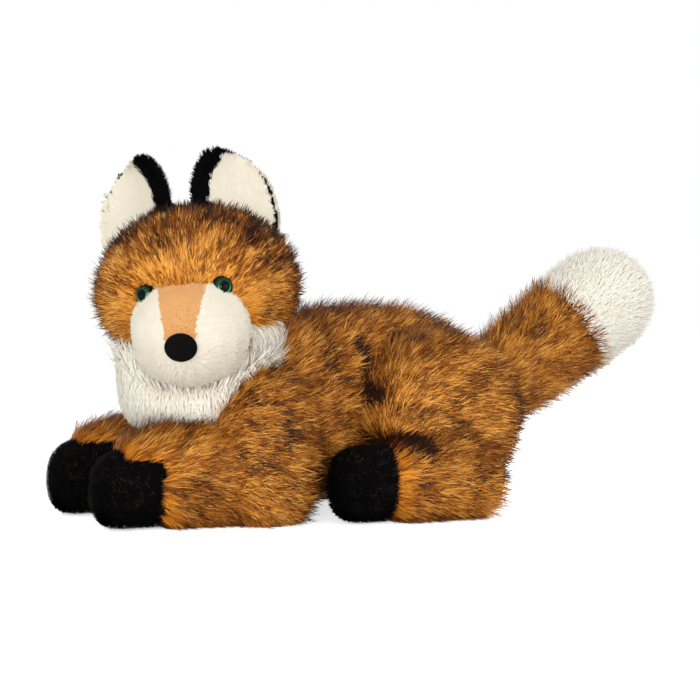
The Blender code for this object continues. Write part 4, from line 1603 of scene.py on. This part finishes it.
def ridge(points: np.ndarray, normals: np.ndarray) -> np.ndarray:
    """Deeper dye along the back, and painted shade along the hem where the fur meets the floor."""
    return DEEP * smoothstep(*BACK, normals[:, 2]) + HEM_SHADE_DEPTH * (1 - smoothstep(*HEM_SHADE_HEIGHTS, points[:, 2]))


def fan_from(middle: Sequence[float]) -> Field:
    """A comb that fans out from a point, as far as the toy reaches."""
    return away_from(middle, (0.0, 0.0, 1.0), 1.0, 2.0)


@dataclass(frozen=True)
class Spot:
    """How a share changes near a point."""

    near: float  # the distance up to which the change is full
    far: float  # the distance beyond which there is none
    change: float = 1.0
    base: float = 0.0  # the share far away

    def at(self, middle: Sequence[float]) -> Field:
        """The share round a point."""
        return scaled(near_point(middle, self.near, self.far), self.change, self.base)


SNUG = 0.6 * MM  # how far backing cloth stands off the fill
UPRIGHT = 1000.0  # the slope of a plane that stands almost upright
DEEPER = constant(0.35)  # guard hair is dyed deeper than the coat under it
IVORY = constant(0.8)
DOWN = flow((0.1, 0.0, -1.0))


@dataclass
class Trunk:
    """The lying trunk with its white chest and belly, the ruff on its chest and the neck's stuffed root."""

    bib: tuple[float, float, float] = (0.0835, 0.276, -0.129)  # the plane above which the chest is white
    bib_end: float = -0.071  # X where that white ends
    bib_claim: float = 60 * MM
    ruff_rise: float = -0.8 * MM
    comb: tuple[float, float, float] = (1.0, 0.0, 0.40)
    patches: Field = mottle(15 * MM, -0.17, 0.21, 8.0)
    cream: Field = mottle(12 * MM, 0.0, 0.3)
    leg_crease: tuple[float, float] = (3 * MM, 9 * MM)  # painted shade: the dye is deeper this near a hind leg, in the crease beside it
    leg_depth: float = 0.75
    # painted shade likewise in the crease round the tail's root
    tail_crease: tuple[float, float] = (4 * MM, 14 * MM)
    tail_depth: float = 0.55
    belly_cover: float = 0.8
    rim: tuple[float, float] = (-0.05, 0.25)  # how far upward the ruff has to face to bear its long rim

    def build(self) -> None:
        """Shapes the trunk, the ruff and the neck."""
        amber, white = PileTone.AMBER, PileTone.WHITE
        skins = [Panel(f"torso_skin_{side.word}", amber, SNUG) for side in Side]
        bib = product(above(*self.bib), above(0.0, UPRIGHT, self.bib_end))
        skins.append(Panel("belly_panel", white, SNUG))
        skins.append(Panel("chest_panel", white, SNUG, scaled(bib, self.bib_claim)))
        self.form = StuffedForm(["torso_core"], skins, "torso")
        self.ruff = StuffedForm(["neck_ruff"], [Panel("neck_ruff", white, self.ruff_rise)], "torso")
        self.neck = StuffedForm(["neck_core"], [Panel("neck_core", white, 0.0)], "neck")

    def dress(self, coat: Coat, hind_legs: Sequence[StuffedForm], tail: StuffedForm) -> None:
        """Grows amber pile on the trunk, and white on its chest and belly.

        Args:
            coat: The pile's outline and neighbours.
            hind_legs: The forms whose creases with the trunk get painted shade.
            tail: The tail's form, likewise.
        """
        comb = flow(self.comb)
        # Painted shade in the creases beside the hind legs and the tail, on top of the dye's own patches.
        crease_shades = [scaled(near_tree(leg.tree, *self.leg_crease), self.leg_depth) for leg in hind_legs]
        crease_shades.append(scaled(near_tree(tail.tree, *self.tail_crease), self.tail_depth))
        shade = total(self.patches, ridge, *crease_shades, RUMP_SEAM_SHADE, FLANK_FOLD_SHADE)
        rim = total(shade, DEEPER)
        for side in Side:
            node, name = f"torso_skin_{side.word}", f"trunk_{side.word}"
            coat.grow(self.form, node, AMBER_LONG, f"{name}_pile", 130 + side.value, comb, shade)
            coat.grow(self.form, node, AMBER_GUARD, f"{name}_guard_hair", 135 + side.value, comb, rim)
        sparse = constant(self.belly_cover)
        coat.grow(self.form, "belly_panel", WHITE_RUFF, "belly_pile", 133, DOWN, self.cream, cover=sparse)
        coat.grow(self.form, "chest_panel", WHITE_RUFF, "chest_pile", 134, DOWN, self.cream)

    def dress_ruff(self, coat: Coat) -> None:
        """Grows the ruff's white pile, and the longer one that fills up to the head.

        Args:
            coat: The pile's outline and neighbours.
        """
        upward = (0.0, 0.0, 1.0)
        coat.grow(self.ruff, "neck_ruff", WHITE_RUFF, "ruff_pile", 138, DOWN, self.cream)
        rim, comb = facing(upward, *self.rim), flow(upward)
        coat.grow(self.ruff, "neck_ruff", WHITE_FILL, "ruff_rim_pile", 139, comb, self.cream, cover=rim)


@dataclass
class Head:
    """The head: amber pile that fans out from a short white muzzle with a tan bridge."""

    voxel: float = 1.1 * MM
    soften: int = 14
    muzzle_rise: float = 2.2 * MM
    taper: Spot = Spot(10 * MM, 26 * MM, -2.4 * MM)  # the tan cloth gives way to white near the nose
    lids: Spot = Spot(10 * MM, 24 * MM)  # the fill is fuller round the eyes
    lid_rise: float = 1.6 * MM
    bare: Spot = Spot(5.0 * MM, 6.0 * MM, -1.0, 1.0)  # no pile stands on an eye
    overlap: float = 3.5 * MM  # how far pile between nose and right eye lies over that eye's inner edge
    face: tuple[float, float, float] = (0.106, 0.22, -0.1625)  # the plane above which the head is amber
    patches: Field = mottle(11 * MM, -0.18, 0.26, 3.0)
    pale: Spot = Spot(50 * MM, 86 * MM, -0.32, 0.12)  # the dye is paler near the nose
    eye_trim: Spot = Spot(7 * MM, 22 * MM, -0.5, 1.0)  # pile is shorter round the eyes
    muzzle_trim: Spot = Spot(26 * MM, 50 * MM, -0.35, 1.0)  # and on the way to the muzzle
    jowl_length: float = 2.4
    jowl_comb: tuple[float, float, float] = (0.45, 0.0, -1.0)
    beard: Spot = Spot(24 * MM, 40 * MM, -1.2, 2.2)  # the muzzle's pile grows longer from the nose back
    chin: tuple[float, float] = (0.15, 0.85)  # how far down the muzzle has to face to bear more beard
    chin_beard: float = 2.6
    bridge: Field = mottle(14 * MM, -0.05, 0.2)
    hem: Spot = Spot(28 * MM, 42 * MM, -1.6, 2.6)  # the bridge's pile is longer where it meets the amber

    def build(self) -> None:
        """Shapes the head with its muzzle."""
        white, rise = PileTone.WHITE, self.muzzle_rise
        eyes = [self.lids.at(middle_of(f"{side.word}_eye")) for side in Side]
        skins = [Panel("head_skin", PileTone.AMBER, SNUG)]
        skins += [Panel(f"muzzle_{side.word}", white, rise) for side in Side]
        skins.append(Panel("muzzle_bridge", PileTone.TAN, rise, self.taper.at(middle_of("nose"))))
        lift, plump = scaled(total(*eyes), self.lid_rise), ["head_skin"]
        self.form = StuffedForm(["head_core"], skins, "head", self.voxel, self.soften, lift, plump)

    def dress(self, coat: Coat) -> None:
        """Grows the head's amber pile, the white jowl under it and the muzzle's short pile.

        Args:
            coat: The pile's outline and neighbours.
        """
        nose, form = middle_of("nose"), self.form
        eyes = [middle_of(f"{side.word}_eye") for side in Side]
        apart = eyes[1] - eyes[0]
        spots = [eyes[0], eyes[1] + apart / np.linalg.norm(apart) * self.overlap]
        face = above(*self.face)
        clear = product(*(self.bare.at(spot) for spot in spots), face)
        muzzle = middle_of("muzzle_bridge") * 0.5 + nose * 0.5
        reach = product(*(self.eye_trim.at(eye) for eye in eyes), self.muzzle_trim.at(muzzle))
        fan, shade = fan_from(nose), total(self.patches, self.pale.at(nose), crown)
        coat.grow(form, "head_skin", AMBER_FACE, "head_pile", 101, fan, shade, reach, clear)
        rim = total(shade, DEEPER)
        coat.grow(form, "head_skin", FACE_GUARD, "head_guard_hair", 104, fan, rim, reach, clear)
        jowl, down, cream = scaled(face, -1.0, 1.0), flow(self.jowl_comb), constant(0.1)
        long = constant(self.jowl_length)
        coat.grow(form, "head_skin", WHITE_RUFF, "jowl_pile", 108, down, cream, long, jowl)
        chin = facing((0.0, 0.0, -1.0), *self.chin)
        beard = total(self.beard.at(nose), scaled(chin, self.chin_beard))
        for side, seed in ((Side.LEFT, 105), (Side.RIGHT, 106)):
            node = f"muzzle_{side.word}"
            coat.grow(form, node, WHITE_SHORT, f"{node}_pile", seed, fan, IVORY, beard)
        hem, name = self.hem.at(nose), "muzzle_bridge_pile"
        coat.grow(form, "muzzle_bridge", TAN_SHORT, name, 107, fan, self.bridge, hem)


@dataclass
class Ear:
    """An upright ear: white plush in front, and black plush that wraps round its inner edge from behind."""

    side: Side
    voxel: float = 0.9 * MM
    soften: int = 3
    front: tuple[float, float] = (-0.15, 0.05)  # how far ahead the white cloth has to face
    hem: tuple[float, float] = (8 * MM, 7 * MM)  # the white cloth's strip along the outer edge, and its reach
    band: tuple[float, float] = (10.5 * MM, 20 * MM)  # the black cloth's strip along the inner edge
    trim: float = 12 * MM  # the strip along the outer edge where black pile is short
    trim_depth: float = 0.85
    share: float = 0.2

    def build(self) -> None:
        """Shapes the ear."""
        side, word = self.side, self.side.word
        self.nodes = [f"{word}_ear_front", f"{word}_ear_back"]
        ahead = middle_of(self.nodes[0]) - middle_of(self.nodes[1])
        front = facing(ahead / np.linalg.norm(ahead), *self.front)
        claims = product(ear_edge(side, -1, *self.hem), front), ear_edge(side, 1, *self.band)
        tones = PileTone.WHITE, PileTone.BLACK
        skins = [Panel(node, tone, 0.0, claim) for node, tone, claim in zip(self.nodes, tones, claims)]
        self.form = StuffedForm(self.nodes, skins, f"{word}_ear", self.voxel, self.soften)

    def dress(self, loom: Loom, head: StuffedForm) -> None:
        """Grows white pile on the ear's front and black pile on its back.

        Args:
            loom: What grows the pile.
            head: The form that the ear stands on.
        """
        word, shift = self.side.word, self.side.value
        coat = Coat(loom, Envelope(self.nodes), [head], share=self.share)
        comb = fan_from(joint(f"{word}_ear_flex")["pos_m"])
        coat.grow(self.form, self.nodes[0], WHITE_EAR, f"{word}_ear_white_pile", 110 + shift, comb, IVORY)
        black, trim = constant(0.0), scaled(ear_edge(self.side, -1, self.trim, 1.0), -self.trim_depth, 1.0)
        name = f"{word}_ear_black_pile"
        coat.grow(self.form, self.nodes[1], BLACK_SHORT, name, 120 + shift, comb, black, trim)


@dataclass
class Leg:
    """A leg under amber pile that fans out from its short black paw."""

    side: Side
    kind: str
    paw: str
    seed: int
    cuff: float = 6.5 * MM  # how far the paw's black cloth reaches up the leg
    fan: tuple[float, float] = (35 * MM, 95 * MM)  # where the pile turns from fanning out to lying back
    back: tuple[float, float, float] = (1.0, 0.0, -0.1)  # the way the pile lies far from the paw
    patches: tuple[float, float, float] = (15 * MM, -0.17, 0.21)
    hock: tuple[float, float, float] = (0.062, 0.060, 0.006)  # X, way from the middle and Z of short pile
    hock_trim: Spot = Spot(14 * MM, 34 * MM, -0.5, 1.0)
    wrist: tuple[float, float, float] = (0.5, 0.0, 0.6)  # the way the paw's pile lies
    # the paws' dye lot, at which a few strands take the grey tips of painted highlights
    black: float = 0.42

    def sleeve(self) -> Field:
        """How far the paw's black cloth reaches up the leg."""
        return constant(self.cuff)

    def beside(self, place: tuple[float, float, float]) -> tuple[float, float, float]:
        """A place on this leg's side, from X, the way from the middle and Z."""
        return place[0], self.side.value * place[1], place[2]

    def fullness(self) -> Field | None:
        """How much fuller than its fill the leg is."""
        return None

    def build(self) -> None:
        """Shapes the leg with its paw."""
        name = f"{self.side.word}_{self.kind}"
        self.paw_node = f"{self.side.word}_{self.paw}"
        skins = [Panel(f"{name}_skin", PileTone.AMBER, SNUG)]
        skins.append(Panel(self.paw_node, PileTone.BLACK, SNUG, self.sleeve()))
        self.form = StuffedForm([f"{name}_core"], skins, name, lift=self.fullness())

    def dress(self, coat: Coat) -> None:
        """Grows the leg's amber pile and the paw's black pile.

        Args:
            coat: The pile's outline and neighbours.
        """
        name, shift = f"{self.side.word}_{self.kind}", self.side.value
        fan = away_from(middle_of(self.paw_node), self.back, *self.fan)
        # The dye's own patches, with painted shade along the hem and in the folds of the flank, hip and rump.
        shade = total(mottle(*self.patches, 20.0 + shift), ridge, RUMP_SEAM_SHADE, FLANK_FOLD_SHADE, HIP_TUCK_SHADE)
        tidy = self.hock_trim.at(self.beside(self.hock))
        seed, node = self.seed + shift, f"{name}_skin"
        coat.grow(self.form, node, AMBER_LONG, f"{name}_pile", seed, fan, shade, tidy)
        rim = total(shade, DEEPER)
        coat.grow(self.form, node, AMBER_GUARD, f"{name}_guard_hair", seed + 4, fan, rim, tidy)
        node, wrist, black = self.paw_node, flow(self.wrist), constant(self.black)
        coat.grow(self.form, node, BLACK_SHORT, f"{node}_pile", seed + 6, wrist, black)


@dataclass
class Foreleg(Leg):
    """A foreleg, whose black ends at a level line and whose fill is fuller beside the chest."""

    kind: str = "foreleg"
    paw: str = "front_paw"
    seed: int = 140
    cuff: float = 1 * MM
    line: float = 0.0405  # the height where black ends
    line_shift: float = 0.0015  # how much higher that is on the right, and lower on the left
    upper_claim: float = -21 * MM  # above the line
    elbow: tuple[float, float, float] = (-0.150, 0.042, 0.052)
    full: Spot = Spot(14 * MM, 36 * MM, 3 * MM)

    def sleeve(self) -> Field:
        """Black below the line, and amber above it."""
        line = self.line + self.line_shift * self.side.value
        return scaled(above(line, 0.0, 0.0), self.upper_claim, self.cuff)

    def fullness(self) -> Field:
        """Fuller round one place beside the chest."""
        return self.full.at(self.beside(self.elbow))


@dataclass
class HindLeg(Leg):
    """A hind leg, folded beside the trunk."""

    kind: str = "hind_leg"
    paw: str = "hind_paw"
    seed: int = 150


@dataclass
class Tail:
    """The tail under long amber pile with its white tip, on a stuffed root."""

    rise: float = 1.6 * MM
    tip_rise: float = 3.0 * MM
    tip_claim: float = 8 * MM
    ball_rise: float = -0.5 * MM
    patches: Field = mottle(13 * MM, -0.14, 0.22, 31.0)
    tip_patches: Field = mottle(20 * MM, -0.1, 0.15, 5.0)

    def build(self) -> None:
        """Shapes the tail and its root."""
        tip = Panel("tail_tip", PileTone.WHITE, self.tip_rise, constant(self.tip_claim))
        skins = [Panel("tail_skin", PileTone.AMBER, self.rise), tip]
        self.form = StuffedForm(["tail_core"], skins, "tail")
        root = [Panel("tail_root_ball", PileTone.AMBER, self.ball_rise)]
        self.ball = StuffedForm(["tail_root_ball"], root, "tail_root")

    def dress(self, coat: Coat) -> None:
        """Grows amber pile along the tail, and the white tip.

        Args:
            coat: The pile's outline and neighbours.
        """
        root = np.array(joint("tail_lift")["pos_m"], float)
        along = flow(middle_of("tail_tip") - root)
        coat.grow(self.form, "tail_skin", AMBER_LONG, "tail_pile", 170, along, self.patches)
        rim = total(self.patches, DEEPER)
        coat.grow(self.form, "tail_skin", AMBER_GUARD, "tail_guard_hair", 171, along, rim)
        coat.grow(self.form, "tail_tip", WHITE_TAIL, "tail_tip_pile", 172, along, self.tip_patches)


def main() -> None:
    """Builds the studio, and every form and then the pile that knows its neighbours."""
    Studio().build()
    loom = Loom(PALETTE)
    trunk, head, tail = Trunk(), Head(), Tail()
    ears, legs, hind_legs = [], [], []
    trunk.build()
    head.build()
    for side in Side:
        ear, foreleg, hind_leg = Ear(side), Foreleg(side), HindLeg(side)
        for part in (ear, foreleg, hind_leg):
            part.build()
        ears.append(ear)
        legs += [foreleg, hind_leg]
        hind_legs.append(hind_leg.form)
    tail.build()
    for side in Side:
        Eye(side).build()
    Nose().build()
    washer = PALETTE.washer.material()
    for node in ("nose_washer", "left_eye_washer", "right_eye_washer"):
        frame["nodes"][node].material_slots[0].material = washer
    leg_forms = [leg.form for leg in legs]
    lying = Envelope(["torso_core", *(leg.form.fill[0] for leg in legs)])
    coat = Coat(loom, lying, [trunk.form, trunk.ruff, *leg_forms])
    ruff_coat = Coat(loom, Envelope(["neck_ruff"]), [trunk.form, *leg_forms], margin=1.5 * MM, share=0.7)
    head.dress(Coat(loom, Envelope(["head_core"], plump=["head_skin"]), [], share=0.5))
    for ear in ears:
        ear.dress(loom, head.form)
    trunk.dress(coat, hind_legs, tail.form)
    trunk.dress_ruff(ruff_coat)
    for leg in legs:
        leg.dress(coat)
    tail.dress(Coat(loom, Envelope(["tail_core"]), [trunk.form], share=0.5))
    loom.put_away()


if __name__ == "__main__":
    main()
